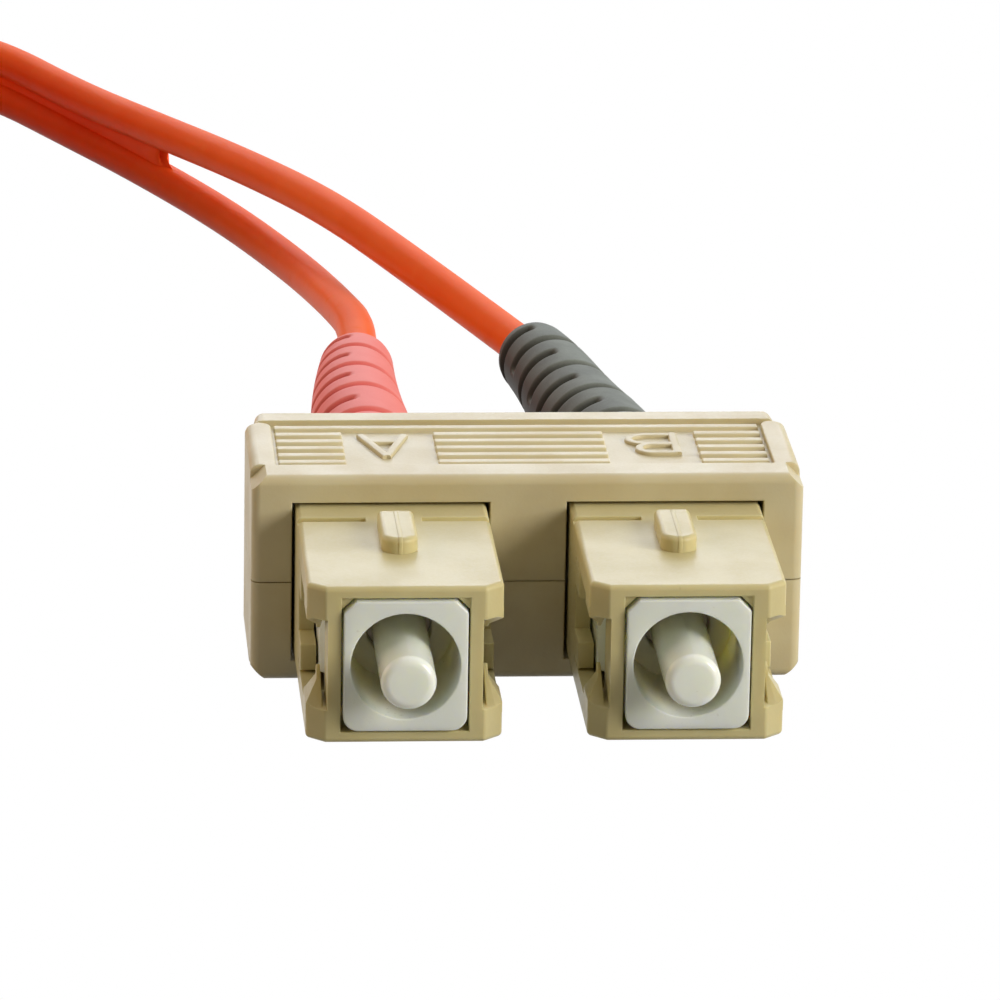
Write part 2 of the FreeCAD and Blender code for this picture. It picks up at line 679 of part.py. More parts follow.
def clip_lower():
    """Lower half, turned over, with the holes for the pegs."""
    depth = PEG_LENGTH + SPLIT_GAP + PEG_CLEARANCE
    holes = [
        Part.makeCylinder(PEG_D / 2 + PEG_CLEARANCE, depth, V(0, y, 0), V(0, 0, -1))
        for y in (PEG_INSET, CLIP_DEPTH - PEG_INSET)
    ]
    return clip_half(CLIP_LOWER_H).mirror(V(), V(0, 0, 1)).cut(holes)


# Twin cord
# Points of each strand after its jacket's start, with y from the clips' faces and z from the table.
# Strand B lies on strand A where the two are joined.
ROUTES = {
    ("near", "a"): [
        V(-6.35, 29.5, 4.8), V(-5.45, 43.0, 4.4), V(-6.4, 55.0, 2.6), V(-8.0, 67.0, 1.2),
        V(-11.2, 78.3, 1.05), V(-15.9, 89.2, 1.05), V(-19.3, 96.8, 1.05), V(-24.2, 106.8, 1.05),
        V(-28.2, 110.6, 1.05), V(-34.0, 112.3, 1.15), V(-42.0, 112.4, 1.35), V(-49.8, 111.5, 1.55),
    ],
    ("near", "b"): [
        V(6.35, 18.9, 4.8), V(4.9, 25.0, 4.8), V(3.3, 33.9, 4.95), V(1.55, 40.8, 5.15),
        V(-2.3, 51.2, 5.75), V(-6.2, 62.6, 5.75), V(-10.4, 75.2, 4.9), V(-15.0, 87.0, 3.95),
        V(-19.3, 96.8, 3.25), V(-24.2, 106.8, 3.1), V(-28.2, 110.6, 3.1), V(-34.0, 112.3, 3.2),
        V(-42.0, 112.4, 3.4), V(-49.8, 111.5, 3.6),
    ],
    ("far", "a"): [
        V(-67.8, 30.0, 4.8), V(-68.1, 46.0, 4.5), V(-69.9, 58.0, 3.6), V(-72.2, 69.0, 3.6),
        V(-73.3, 79.0, 4.5), V(-73.3, 88.0, 5.65),
    ],
    ("far", "b"): [
        V(-55.1, 30.0, 4.8), V(-55.6, 46.0, 4.8), V(-59.5, 57.0, 4.8), V(-66.5, 66.5, 5.4),
        V(-72.3, 78.0, 6.9), V(-73.3, 88.0, 7.7),
    ],
}


def strand_route(end, channel):
    """Edges and arc radii of a strand, from its jacket's start inside the crimp to the coil."""
    start = V(ENDS[end] + CHANNELS[channel], FACE_Y + JACKET_Y, AXIS_Z)
    return route_edges([start] + [point.add(V(0, FACE_Y, 0)) for point in ROUTES[end, channel]])


def cord_coil():
    """Outer form of the wound length: a soft-edged ring that lies on the strap."""
    outer = COIL_OUTER_R + STRAND_D / 2
    inner = COIL_INNER_R - STRAND_D / 2
    section = [
        (inner, COIL_BOTTOM + COIL_ROUNDING), (inner + COIL_ROUNDING, COIL_BOTTOM),
        (outer - COIL_ROUNDING, COIL_BOTTOM), (outer, COIL_BOTTOM + COIL_ROUNDING),
        (outer, COIL_TOP - COIL_ROUNDING), (outer - COIL_ROUNDING, COIL_TOP),
        (inner + COIL_ROUNDING, COIL_TOP), (inner, COIL_TOP - COIL_ROUNDING),
    ]
    corners = [V(radius, 0, z) for radius, z in section]
    ring = Part.Face(Part.makePolygon(corners + corners[:1])).revolve(V(), V(0, 0, 1), 360)
    return ring.translated(V(COIL_X, FACE_Y + COIL_Y, 0))


def coil_tie():
    """Strap round the coil's bundle, with its end lapped over on top."""
    outer = COIL_OUTER_R + STRAND_D / 2 + TIE_CLEARANCE
    inner_edge = COIL_INNER_R - STRAND_D / 2
    inner = math.sqrt(inner_edge ** 2 - (TIE_W / 2) ** 2) - TIE_CLEARANCE
    top = COIL_TOP + TIE_CLEARANCE
    half = TIE_W / 2
    band = block(inner - TIE_T, outer + TIE_T, -half, half, 0, top + TIE_T)
    band = band.cut(block(inner, outer, -half, half, TIE_T, top))
    lap = block(inner, (inner + outer) / 2, -half, half, top + TIE_T, top + 2 * TIE_T)
    strap = band.fuse(lap).removeSplitter()
    strap.rotate(V(), V(0, 0, 1), TIE_ANGLE)
    return strap.translated(V(COIL_X, FACE_Y + COIL_Y, 0))


# Assembly
def build():
    """Every piece in the lead's own frame, by name."""
    pieces = {}
    clip_pieces = {"clip_upper": clip_upper(), "clip_lower": clip_lower()}
    channel_pieces = {
        "housing": housing(),
        "plug_frame": plug_frame(),
        "ferrule": ferrule(),
        "ferrule_flange": ferrule_flange(),
        "spring": spring(),
        "stop_ring": stop_ring(),
        "crimp_sleeve": crimp_sleeve(),
        "buffered_fibre": buffered_fibre(),
    }
    for end, end_x in ENDS.items():
        for name, shape in clip_pieces.items():
            pieces[f"{end}_{name}"] = shape.translated(V(end_x, FACE_Y, AXIS_Z))
        for channel, x in CHANNELS.items():
            for name, shape in channel_pieces.items():
                pieces[f"{end}_{name}_{channel}"] = shape.translated(V(end_x + x, FACE_Y, AXIS_Z))
            edges, radii = strand_route(end, channel)
            strand = pipe(edges, STRAND_D / 2)
            pieces[f"{end}_boot_{channel}"] = boot(edges, x, end_x)
            pieces[f"cord_{channel}_{end}"] = strand
            length = sum(edge.Length for edge in edges)
            expected = math.pi * (STRAND_D / 2) ** 2 * length
            print(
                f"cord_{channel}_{end}: length {length:.1f}, volume {strand.Volume:.1f} of {expected:.1f},",
                "radii", " ".join(f"{radius:.0f}" for radius in radii),
            )
    pieces["cord_coil"] = cord_coil()
    pieces["coil_tie"] = coil_tie()
    return pieces


os.makedirs("parts", exist_ok=True)
for node, solid in sorted(build().items()):
    solid.exportStep(f"parts/{node}.step")
    print(node, "solids", len(solid.Solids), "volume", round(solid.Volume, 3), "valid", solid.isValid())
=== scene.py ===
# %% [markdown]
# # A duplex fibre patch lead
# The object is a short optical patch lead. Each end has a pair of push-pull plugs in a cream clip,
# each plug has a bendy boot, and an orange twin cord joins the ends. This lesson loads the packed
# solids as a fixed frame and then dresses them: camera and light first, then the cord, then the
# moulded pieces and their finishes. Everything is in metres, in the frame of the solids.

# %% Load the frame
import json
import math
import bmesh
import bpy
import numpy as np
from mathutils import Matrix, Vector


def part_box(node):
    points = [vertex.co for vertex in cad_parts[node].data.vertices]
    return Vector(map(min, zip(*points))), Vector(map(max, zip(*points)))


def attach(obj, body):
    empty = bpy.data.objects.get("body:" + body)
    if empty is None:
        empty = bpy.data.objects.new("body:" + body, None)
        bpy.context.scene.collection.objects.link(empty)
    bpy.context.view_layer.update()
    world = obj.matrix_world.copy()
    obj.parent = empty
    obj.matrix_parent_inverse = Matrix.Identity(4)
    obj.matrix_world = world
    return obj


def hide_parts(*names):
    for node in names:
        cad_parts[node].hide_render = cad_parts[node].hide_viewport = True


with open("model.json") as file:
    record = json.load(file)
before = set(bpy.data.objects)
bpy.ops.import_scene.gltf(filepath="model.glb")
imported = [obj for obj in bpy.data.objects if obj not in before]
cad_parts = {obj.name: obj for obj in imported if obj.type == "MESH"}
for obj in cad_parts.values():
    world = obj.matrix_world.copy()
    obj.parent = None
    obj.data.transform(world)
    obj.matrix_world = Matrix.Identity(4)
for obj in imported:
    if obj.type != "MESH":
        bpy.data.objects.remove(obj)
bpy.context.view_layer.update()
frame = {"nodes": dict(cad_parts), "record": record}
nodes = frame["nodes"]
slot_of = {entry["node"]: entry["material_slot"] for entry in frame["record"]["subparts"]}
body_of = {node: body for body, names in frame["record"]["behaviour"]["bodies"].items() for node in names}
MM = 0.001
FACE_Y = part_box("near_clip_lower")[0].y
AXIS_Z = (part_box("near_ferrule_a")[0].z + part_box("near_ferrule_a")[1].z) / 2
FAR_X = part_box("far_clip_lower")[0].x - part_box("near_clip_lower")[0].x


def new_object(name, data):
    """A new object in the scene."""
    thing = bpy.data.objects.new(name, data)
    bpy.context.scene.collection.objects.link(thing)
    return thing


print(f"loaded {len(nodes)} nodes, clip face at y {FACE_Y / MM:.2f} mm, plug axes at z {AXIS_Z / MM:.2f} mm")

# %% [markdown]
# ## Camera
# The picture was taken with a long lens from a little above and slightly to the left of the plugs.
# A camera can be aimed by a constraint or placed by angles. Angles say directly how the view was
# found, so here the camera's axes are worked out from azimuth, elevation and a small roll.

# %% Camera
VIEW_AZIMUTH = math.radians(-4.348)
VIEW_ELEVATION = math.radians(17.357)
VIEW_ROLL = math.radians(1.017)
VIEW_DISTANCE = 344.38 * MM
VIEW_TARGET = Vector((-1.326 * MM, FACE_Y, AXIS_Z + 3.945 * MM))
VIEW_RANGE = (0.01, 50.0)
LENS = 268.41
SENSOR = 36.0


def aim_camera():
    """Camera axes: back = (sin a cos e, -cos a cos e, sin e), right = z x back, then rolled about back."""
    flat = math.cos(VIEW_ELEVATION)
    back = Vector((
        math.sin(VIEW_AZIMUTH) * flat, -math.cos(VIEW_AZIMUTH) * flat, math.sin(VIEW_ELEVATION)
    ))
    right = Vector((0, 0, 1)).cross(back).normalized()
    axes = Matrix((right, back.cross(right), back)).transposed()
    turn = axes @ Matrix.Rotation(VIEW_ROLL, 3, "Z")
    data = bpy.data.cameras.new("picture_camera")
    data.lens = LENS
    data.sensor_width = SENSOR
    data.clip_start, data.clip_end = VIEW_RANGE
    camera = new_object("picture_camera", data)
    camera.matrix_world = Matrix.Translation(VIEW_TARGET + back * VIEW_DISTANCE) @ turn.to_4x4()
    bpy.context.scene.camera = camera
    return camera


camera = aim_camera()
print("camera at", [round(value, 4) for value in camera.matrix_world.translation])

# %% [markdown]
# ## Helpers for shader nodes
# Light and finishes are built from shader nodes. They could be wired up one by one, but a few short
# helpers that place a node, feed its inputs and hand on its output let each effect read like a formula.

# %% Node helpers
COLOUR = "NodeSocketColor"
VALUE = "NodeSocketFloat"
SURFACE = {"Colour": COLOUR, "Roughness": VALUE, "Height": VALUE}


def feed(tree, node, values):
    """Link an input where a socket is given, and set its own value otherwise."""
    for key, value in values.items():
        if isinstance(value, bpy.types.NodeSocket):
            tree.links.new(value, node.inputs[key])
        else:
            node.inputs[key].default_value = value
    return node


def new_node(tree, kind, values, **settings):
    """Place a shader node, choose its settings and feed its inputs."""
    node = tree.nodes.new(f"ShaderNode{kind}")
    for key, value in settings.items():
        setattr(node, key, value)
    return feed(tree, node, values)


def sums(tree, operation, *values):
    """One step of arithmetic. MULTIPLY_ADD gives first x second + third."""
    return new_node(tree, "Math", dict(enumerate(values)), operation=operation).outputs[0]


def noise(tree, coords, scale, detail=2.0):
    """Cloudy noise from 0 to 1, with about this many clouds a metre."""
    return new_node(tree, "TexNoise", {"Vector": coords, "Scale": scale, "Detail": detail}).outputs["Fac"]


def spread(tree, value, low, high, new_low=0.0, new_high=1.0):
    """Map low..high to a new range with soft ends, and hold it outside."""
    ends = {"Value": value, "From Min": low, "From Max": high, "To Min": new_low, "To Max": new_high}
    return new_node(tree, "MapRange", ends, interpolation_type="SMOOTHSTEP").outputs["Result"]


def blended(tree, share, first, second):
    """Mix two colours by a share from 0 to 1."""
    return new_node(tree, "Mix", {0: share, 6: first, 7: second}, data_type="RGBA").outputs[2]


def stored(tree, name):
    """The value that a piece's points carry under this name, as a number or a vector."""
    return new_node(tree, "Attribute", {}, attribute_name=name).outputs


def split(tree, vector):
    """The x, y and z of a vector."""
    return new_node(tree, "SeparateXYZ", {0: vector}).outputs


def clouds(tree, coords, scale, detail, low, high, top=1.0):
    """Noise that is spread out from 0 where it is low to the top where it is high."""
    return spread(tree, noise(tree, coords, scale, detail), low, high, 0.0, top)


def new_group(name, colours, values):
    """A shader group with named colour and value inputs, the outputs of a surface and the piece's own
    coordinates in metres."""
    group = bpy.data.node_groups.new(name, "ShaderNodeTree")
    for label, kind in {**dict.fromkeys(colours, COLOUR), **dict.fromkeys(values, VALUE)}.items():
        group.interface.new_socket(name=label, in_out="INPUT", socket_type=kind)
    for label, kind in SURFACE.items():
        group.interface.new_socket(name=label, in_out="OUTPUT", socket_type=kind)
    given, out = group.nodes.new("NodeGroupInput").outputs, group.nodes.new("NodeGroupOutput")
    return group, given, out, new_node(group, "TexCoord", {}).outputs["Object"]


print("node helpers ready")

# %% [markdown]
# ## Floor and light
# The lead lies on white paper. A large soft lamp hangs over it and one stands behind it, whose sheen
# whitens the upper faces. A lamp on the right lights the fronts, and a weak warm one on the left and a
# little warm light from everywhere else fill the shade. The paper is white to the camera and in
# reflections, and an ordinary grey surface to all other light, so the background is bright without
# more light on the object.

# %% Floor and light
FLOOR_SIZE = 12.0
WHITE = (1, 1, 1, 1)
PAPER_GREY = (0.35, 0.35, 0.35, 1)
WORLD_FILL = 0.16
FILL_TINT = (1.0, 0.84, 0.5, 1)
LAMP_AIM = Vector((-0.01, 0.0, 0.005))
LAMPS = {
    "overhead_lamp": ((0.05, 0.12, 0.62), 0.5, 0.85, (0.93, 1.0, 1.12)),
    "rear_lamp": ((0.0, 0.67, 0.36), 0.5, 2.05, (0.93, 1.0, 1.14)),
    "right_lamp": ((0.5, -0.3, 0.24), 0.3, 3.5, (1.0, 0.96, 0.87)),
    "left_lamp": ((-0.6, 0.14, 0.2), 0.4, 1.45, (1.0, 0.74, 0.5)),
}


def lit_two_ways(tree, diffuse, direct, output):
    """Show one shader to diffuse light and another to the camera, reflections and refractions."""
    tree.nodes.clear()
    path = new_node(tree, "LightPath", {}).outputs
    seen = sums(tree, "MAXIMUM", path["Is Camera Ray"], path["Is Glossy Ray"])
    seen = sums(tree, "MAXIMUM", seen, path["Is Transmission Ray"])
    shaders = [new_node(tree, kind, values).outputs[0] for kind, values in (diffuse, direct)]
    mix = new_node(tree, "MixShader", {0: seen, 1: shaders[0], 2: shaders[1]})
    new_node(tree, output, {"Surface": mix.outputs[0]})


def lay_floor():
    """A square of paper under the lead: its own white where it is seen, and grey to all other light."""
    paper = bpy.data.materials.new("white_paper")
    paper.use_nodes = True
    grey, white = ("BsdfDiffuse", {"Color": PAPER_GREY}), ("Emission", {"Color": WHITE})
    lit_two_ways(paper.node_tree, grey, white, "OutputMaterial")
    mesh = bpy.data.meshes.new("floor")
    corners = np.array(((-1, -1, 0), (1, -1, 0), (1, 1, 0), (-1, 1, 0))) * FLOOR_SIZE / 2
    mesh.from_pydata(corners, [], [(0, 1, 2, 3)])
    mesh.materials.append(paper)
    floor = new_object("floor", mesh)


def light_world():
    """White sky to the camera and in reflections, and a dim warm fill to the rest."""
    world = bpy.data.worlds.new("studio")
    world.use_nodes = True
    fill = ("Background", {"Color": FILL_TINT, "Strength": WORLD_FILL})
    lit_two_ways(world.node_tree, fill, ("Background", {"Color": WHITE}), "OutputWorld")
    bpy.context.scene.world = world


def soft_lamp(name, place, size, power, tint):
    """A square area lamp at a place, turned to the lead."""
    data = bpy.data.lights.new(name, "AREA")
    data.shape = "SQUARE"
    data.size = size
    data.energy = power
    data.color = tint
    lamp = new_object(name, data)
    lamp.location = place
    lamp.rotation_euler = (LAMP_AIM - Vector(place)).to_track_quat("-Z", "Y").to_euler()
    return lamp


lay_floor()
light_world()
bpy.context.scene.view_settings.view_transform = "Standard"
lamps = [soft_lamp(name, *values) for name, values in LAMPS.items()]
print("lamps:", ", ".join(f"{lamp.name} {lamp.data.energy} W" for lamp in lamps))

# %% [markdown]
# ## Twin cord
# The cord is two 2 mm jackets joined by a thin web, like lamp flex. Near each plug pair the two part,
# and each runs into its own boot. Where they are joined, one lies on the other, as the cord stands on
# its edge. A cord can be simulated, but this one lies still, so each strand is one smooth NURBS line
# with the route's points as control points. The rest of the length is wound in two layers.

# %% Routes of the strands
STRAND_D = 2.0 * MM
JACKET_Y = 14.5 * MM


def route(*points):
    """Points in millimetres, with y from the clips' faces and z from the table, in the frame's metres."""
    return np.array(points) * MM + (0, FACE_Y, 0)


def smooth_step(value, low, high):
    """0 below low, 1 above high, and a smooth rise between: 3 s^2 - 2 s^3."""
    share = np.clip((value - low) / (high - low), 0, 1)
    return share * share * (3 - 2 * share)


ROUTE_A_NEAR = route(
    (-6.35, 14.5, 4.8), (-6.35, 18.5, 4.8), (-6.55, 29.5, 4.9), (-5.45, 43.0, 4.5), (-6.14, 55.0, 2.6),
    (-7.71, 67.0, 1.21), (-11.15, 78.3, 1.05), (-15.79, 89.2, 1.1), (-19.3, 96.8, 1.05),
    (-24.15, 106.8, 1.1), (-28.16, 110.6, 1.07), (-34.0, 112.3, 1.15), (-42.0, 112.4, 1.35),
    (-49.8, 111.5, 1.55),
)
ROUTE_B_NEAR = route(
    (6.35, 14.5, 4.8), (6.35, 17.2, 4.8), (5.96, 20.0, 4.7), (4.72, 25.5, 4.75), (3.31, 33.9, 5.4),
    (1.34, 40.8, 5.33), (-2.38, 51.2, 5.74), (-6.16, 62.6, 5.83), (-10.39, 75.2, 4.88), (-15.03, 87.0, 3.91),
    (-19.28, 96.8, 3.31), (-23.9, 106.8, 3.39), (-28.07, 110.6, 3.19), (-34.0, 112.3, 3.2),
    (-42.0, 112.4, 3.4), (-49.8, 111.5, 3.6),
)
ROUTE_A_FAR = route(
    (-67.8, 14.5, 4.8), (-67.8, 30.0, 4.8), (-68.1, 46.0, 4.5), (-69.9, 58.0, 3.6), (-72.2, 69.0, 3.6),
    (-73.3, 79.0, 4.5), (-73.3, 88.0, 5.65),
)
ROUTE_B_FAR = route(
    (-55.1, 14.5, 4.8), (-55.1, 30.0, 4.8), (-55.6, 46.0, 4.8), (-59.5, 57.0, 4.8), (-66.5, 66.5, 5.4),
    (-72.3, 78.0, 6.9), (-73.3, 88.0, 7.7),
)
COIL_CENTRE = route((-49.8, 88.0, 0))[0]
COIL_OUTER_R = 23.5 * MM
COIL_PITCH = 2.05 * MM
COIL_TURNS = 6.25
COIL_POINTS_PER_TURN = 16
COIL_START = math.radians(90)
CLIMB_TURNS = (2.75, 3.5)
LAYER_STEP = 4.1 * MM


def coil_points(low):
    """Control points of the wound length: radius falls by one pitch a turn to the middle and then grows
    again, while the height climbs by one layer. A spline inside n points a turn lies at cos(pi / n) of
    their radius, so the points stand that much further out."""
    count = int(COIL_TURNS * COIL_POINTS_PER_TURN)
    turn = np.arange(1, count) / COIL_POINTS_PER_TURN
    half = COIL_TURNS / 2
    radius = COIL_OUTER_R - COIL_PITCH * (half - np.abs(turn - half))
    radius = radius / math.cos(math.pi / COIL_POINTS_PER_TURN)
    angle = COIL_START + 2 * np.pi * turn
    height = low + LAYER_STEP * smooth_step(turn, *CLIMB_TURNS)
    return np.column_stack((
        COIL_CENTRE[0] + radius * np.cos(angle), COIL_CENTRE[1] + radius * np.sin(angle), height
    ))


def strand_points(near, far):
    """The whole strand: out of the near boot, round the coil and back into the far boot."""
    return np.vstack((near, coil_points(near[-1, 2]), far[::-1]))


route_a = strand_points(ROUTE_A_NEAR, ROUTE_A_FAR)
route_b = strand_points(ROUTE_B_NEAR, ROUTE_B_FAR)
print("control points:", len(route_a), "and", len(route_b))

# %% Strands
STRAND_RESOLUTION = 8
STRAND_BEVEL = 8
LINE_RESOLUTION = 24


def strand_curve(name, points, resolution):
    """A quadratic NURBS line that starts and ends at its first and last points."""
    data = bpy.data.curves.new(name, "CURVE")
    data.dimensions = "3D"
    spline = data.splines.new("NURBS")
    spline.points.add(len(points) - 1)
    spline.points.foreach_set("co", np.column_stack((points, np.ones(len(points)))).ravel())
    spline.order_u = 3
    spline.use_endpoint_u = True
    spline.resolution_u = resolution
    return new_object(name, data)


def strand(name, points):
    """A round jacket on the strand's line. The points carry its radius, so the curve's box is right too."""
    curve = strand_curve(name, points, STRAND_RESOLUTION)
    curve.data.splines[0].points.foreach_set("radius", np.full(len(points), STRAND_D / 2))
    curve.data.bevel_depth = 1.0
    curve.data.bevel_resolution = STRAND_BEVEL
    curve.data.use_fill_caps = True
    return curve


def points_of(mesh):
    """A mesh's points as an array."""
    points = np.empty(3 * len(mesh.vertices))
    mesh.vertices.foreach_get("co", points)
    return points.reshape(-1, 3)


def line_of(points):
    """Points along the spline itself, read from a finer copy of the curve that has no bevel."""
    plain = strand_curve("plain_line", points, LINE_RESOLUTION)
    mesh = bpy.data.meshes.new_from_object(plain.evaluated_get(bpy.context.evaluated_depsgraph_get()))
    line = points_of(mesh)
    data = plain.data
    bpy.data.objects.remove(plain)
    bpy.data.curves.remove(data)
    bpy.data.meshes.remove(mesh)
    return line


def run_of(line):
    """Distance along a line at each of its points."""
    return np.concatenate(([0], np.cumsum(np.linalg.norm(np.diff(line, axis=0), axis=1))))


def length_of(line):
    """Sum of the steps along a line."""
    return float(run_of(line)[-1])


strand_a = strand("strand_a", route_a)
strand_b = strand("strand_b", route_b)
line_a = line_of(route_a)
line_b = line_of(route_b)
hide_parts("cord_a_near", "cord_a_far", "cord_coil")
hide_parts("cord_b_near", "cord_b_far")
for curve in (strand_a, strand_b):
    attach(curve, "lead")
print(f"strand lengths {length_of(line_a):.3f} m and {length_of(line_b):.3f} m")

# %% [markdown]
# ## Surfaces from grids
# Every new piece is a grid of points worked out with arrays: rows run along the piece and columns run
# round it. One helper turns such grids into a mesh with faces that point outwards, and another finds
# places along a strand, so that the boots and the web follow the cord.

# %% Grid helpers
WELD_DISTANCE = 1e-8
HALF_STEP = 0.3 * MM


def grid_faces(shape, start, ring, capped):
    """Quads of a grid whose columns close round. A ring also joins its last row to its first."""
    index = start + np.arange(math.prod(shape)).reshape(shape)
    wide = np.hstack((index, index[:, :1]))
    tall = np.vstack((wide, wide[:1])) if ring else wide
    quads = np.stack((tall[:-1, :-1], tall[:-1, 1:], tall[1:, 1:], tall[1:, :-1]), axis=-1)
    faces = quads.reshape(-1, 4).tolist()
    return faces + [index[0].tolist(), index[-1].tolist()] if capped else faces


def turn_outwards(mesh, weld):
    """Make all faces point out of the closed form, which a weld closes where points share a place."""
    shape = bmesh.new()
    shape.from_mesh(mesh)
    if weld:
        bmesh.ops.remove_doubles(shape, verts=shape.verts, dist=WELD_DISTANCE)
    bmesh.ops.recalc_face_normals(shape, faces=shape.faces)
    shape.to_mesh(mesh)
    shape.free()


def surface_piece(name, grids, body, ring=False, capped=False, weld=False, crease=60):
    """One piece from grids of points (rows, columns, 3), smooth apart from edges sharper than the crease."""
    faces = []
    start = 0
    for points in grids:
        faces += grid_faces(points.shape[:2], start, ring, capped)
        start += math.prod(points.shape[:2])
    mesh = bpy.data.meshes.new(name)
    mesh.from_pydata(np.vstack([points.reshape(-1, 3) for points in grids]), [], faces)
    turn_outwards(mesh, weld)
    mesh.shade_smooth()
    mesh.set_sharp_from_angle(angle=math.radians(crease))
    piece = new_object(name, mesh)
    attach(piece, body)
    return piece


def point_values(piece, name, values, kind="FLOAT"):
    """Store one value for each point of a piece, in the grid's order, for its material."""
    layer = piece.data.attributes.new(name, kind, "POINT")
    layer.data.foreach_set("value" if kind == "FLOAT" else "vector", np.ascontiguousarray(values).ravel())


def unit(vectors):
    """Vectors of length 1 in the same directions."""
    return vectors / np.linalg.norm(vectors, axis=-1, keepdims=True)


def points_along(line, distances):
    """Places at distances along a line. Before its start the first step is extended."""
    reached = run_of(line)
    places = np.stack([np.interp(distances, reached, column) for column in line.T], axis=-1)
    return places + np.minimum(distances, 0)[:, None] * unit(line[1] - line[0])


def frames_along(line, distances):
    """Places along a line, with the left and up directions across it: left = z x direction."""
    ahead, behind = points_along(line, distances + HALF_STEP), points_along(line, distances - HALF_STEP)
    direction = unit(ahead - behind)
    left = unit(np.cross((0, 0, 1), direction))
    return points_along(line, distances), left, np.cross(direction, left)


def carried(section, places, left, up):
    """A section of (left, up) offsets carried along the places. The section and each of its directions are
    either one for all rows or one for each."""
    left, up = (np.broadcast_to(direction, places.shape)[:, None] for direction in (left, up))
    return places[:, None] + section[..., :1] * left + section[..., 1:] * up


def footed(arch, sink):
    """A section's arch, closed by two points that lie sunk below its ends."""
    return np.vstack((arch, (arch[-1, 0], -sink), (arch[0, 0], -sink)))


def squared(values, power):
    """Values from -1 to 1 raised to a small power with their sign, which squares a round section's corners."""
    return np.sign(values) * np.abs(values) ** power


print("grid helpers ready")

# %% [markdown]
# ## Web between the jackets
# The two jackets of a twin cord are moulded in one with a thin web, which is torn to part them. It
# could be part of a single section, but the strands part at both ends, so the web is a strip of its
# own: it follows the middle between the two lines wherever they lie one step apart.

# %% Web
WEB_REACH = 3.25 * MM
WEB_SINK = 0.42 * MM
WEB_HALF_WIDTH = 0.4 * MM
WEB_END_TAPER = 4.0 * MM
WEB_HOLLOW = 3.0 * MM
WEB_COLUMNS = 24
WEB_TRIALS = 2000


def web_grid():
    """An ellipse carried along the middle between the strands, from where they meet to where they part.
    For each place on strand A the nearest place on strand B is found. The long axis points to it and
    reaches a little into both jackets. The ends run out to an edge, hollowed by cos^2."""
    lower = points_along(line_a, np.linspace(0, length_of(line_a), WEB_TRIALS))
    away = np.linalg.norm(lower[:, None] - line_b[None], axis=-1)
    nearest = line_b[away.argmin(axis=1)]
    joined = np.flatnonzero(away.min(axis=1) < WEB_REACH)
    span = slice(joined[0], joined[-1] + 1)
    towards = nearest[span] - lower[span]
    places = lower[span] + towards / 2
    up = unit(towards)
    along = unit(np.gradient(places, axis=0))
    side = unit(np.cross(up, along))
    run = run_of(places)
    torn = 1 - smooth_step(np.minimum(run, run[-1] - run), 0, WEB_END_TAPER)
    width = WEB_HALF_WIDTH * (1 - torn)
    inwards = WEB_HOLLOW * torn * np.sign(run[-1] / 2 - run)
    height = np.linalg.norm(towards, axis=1) / 2 - WEB_SINK
    angle = np.linspace(0, 2 * np.pi, WEB_COLUMNS, endpoint=False)
    ellipse = np.stack((np.outer(width, np.cos(angle)), np.outer(height, np.sin(angle))), axis=-1)
    hollow = np.outer(inwards, np.cos(angle) ** 2)
    return carried(ellipse, places, side, up) + hollow[..., None] * along[:, None]


web = surface_piece("cord_web", [web_grid()], "lead", weld=True)
print("web with", len(web.data.polygons), "faces")

# %% [markdown]
# ## Strain relief boots
# A boot is a rubber sleeve that keeps the fibre from bending sharply behind the plug. Slots, each about
# half way round and turned by a quarter from one to the next, let it bend. Cutting slots with booleans
# leaves rough edges, so the boot is one closed surface: a profile goes along the outside to the tip and
# back through the bore, and the slots are dips of its radius with soft edges.

# %% Boots
BOOT_FRONT = ((8.4, 2.3), (8.42, 2.4), (8.5, 2.47))
BOOT_BORE = ((36.0, 1.12), (35.9, 1.05), (18.3, 1.04), (18.1, 1.6), (14.1, 1.6), (13.3, 2.2), (8.4, 2.2))
BOOT_LEVEL_START = 8.7 * MM
BOOT_LEVEL_END = 23.5 * MM
BOOT_TIP = 36.0 * MM
BOOT_R = 2.5 * MM
BOOT_TIP_R = 1.84 * MM
BOOT_TIP_ROUND = 0.6 * MM
BOOT_ROW_STEP = 0.55 * MM
BOOT_TIP_ROWS = 8
SLOT_TIP_GAP = 1.35 * MM
SLOT_PITCH = 2.15 * MM
SLOT_COUNT = 10
SLOTS = BOOT_TIP - SLOT_TIP_GAP - SLOT_PITCH * np.arange(SLOT_COUNT)
SLOT_DEPTH = 0.34 * MM
SLOT_HALF_WIDTH = 0.3 * MM
SLOT_SOFT = 0.14 * MM
SLOT_EDGE_ROWS = np.array((-1.6, -1.0, -0.5, 0.0, 0.5, 1.0, 1.6))
SLOT_SIDE = (-85.0, 82.0)
SLOT_TOP = (5.0, 185.0)
SLOT_END_SOFT = 9.0
BOOT_COLUMNS = 96


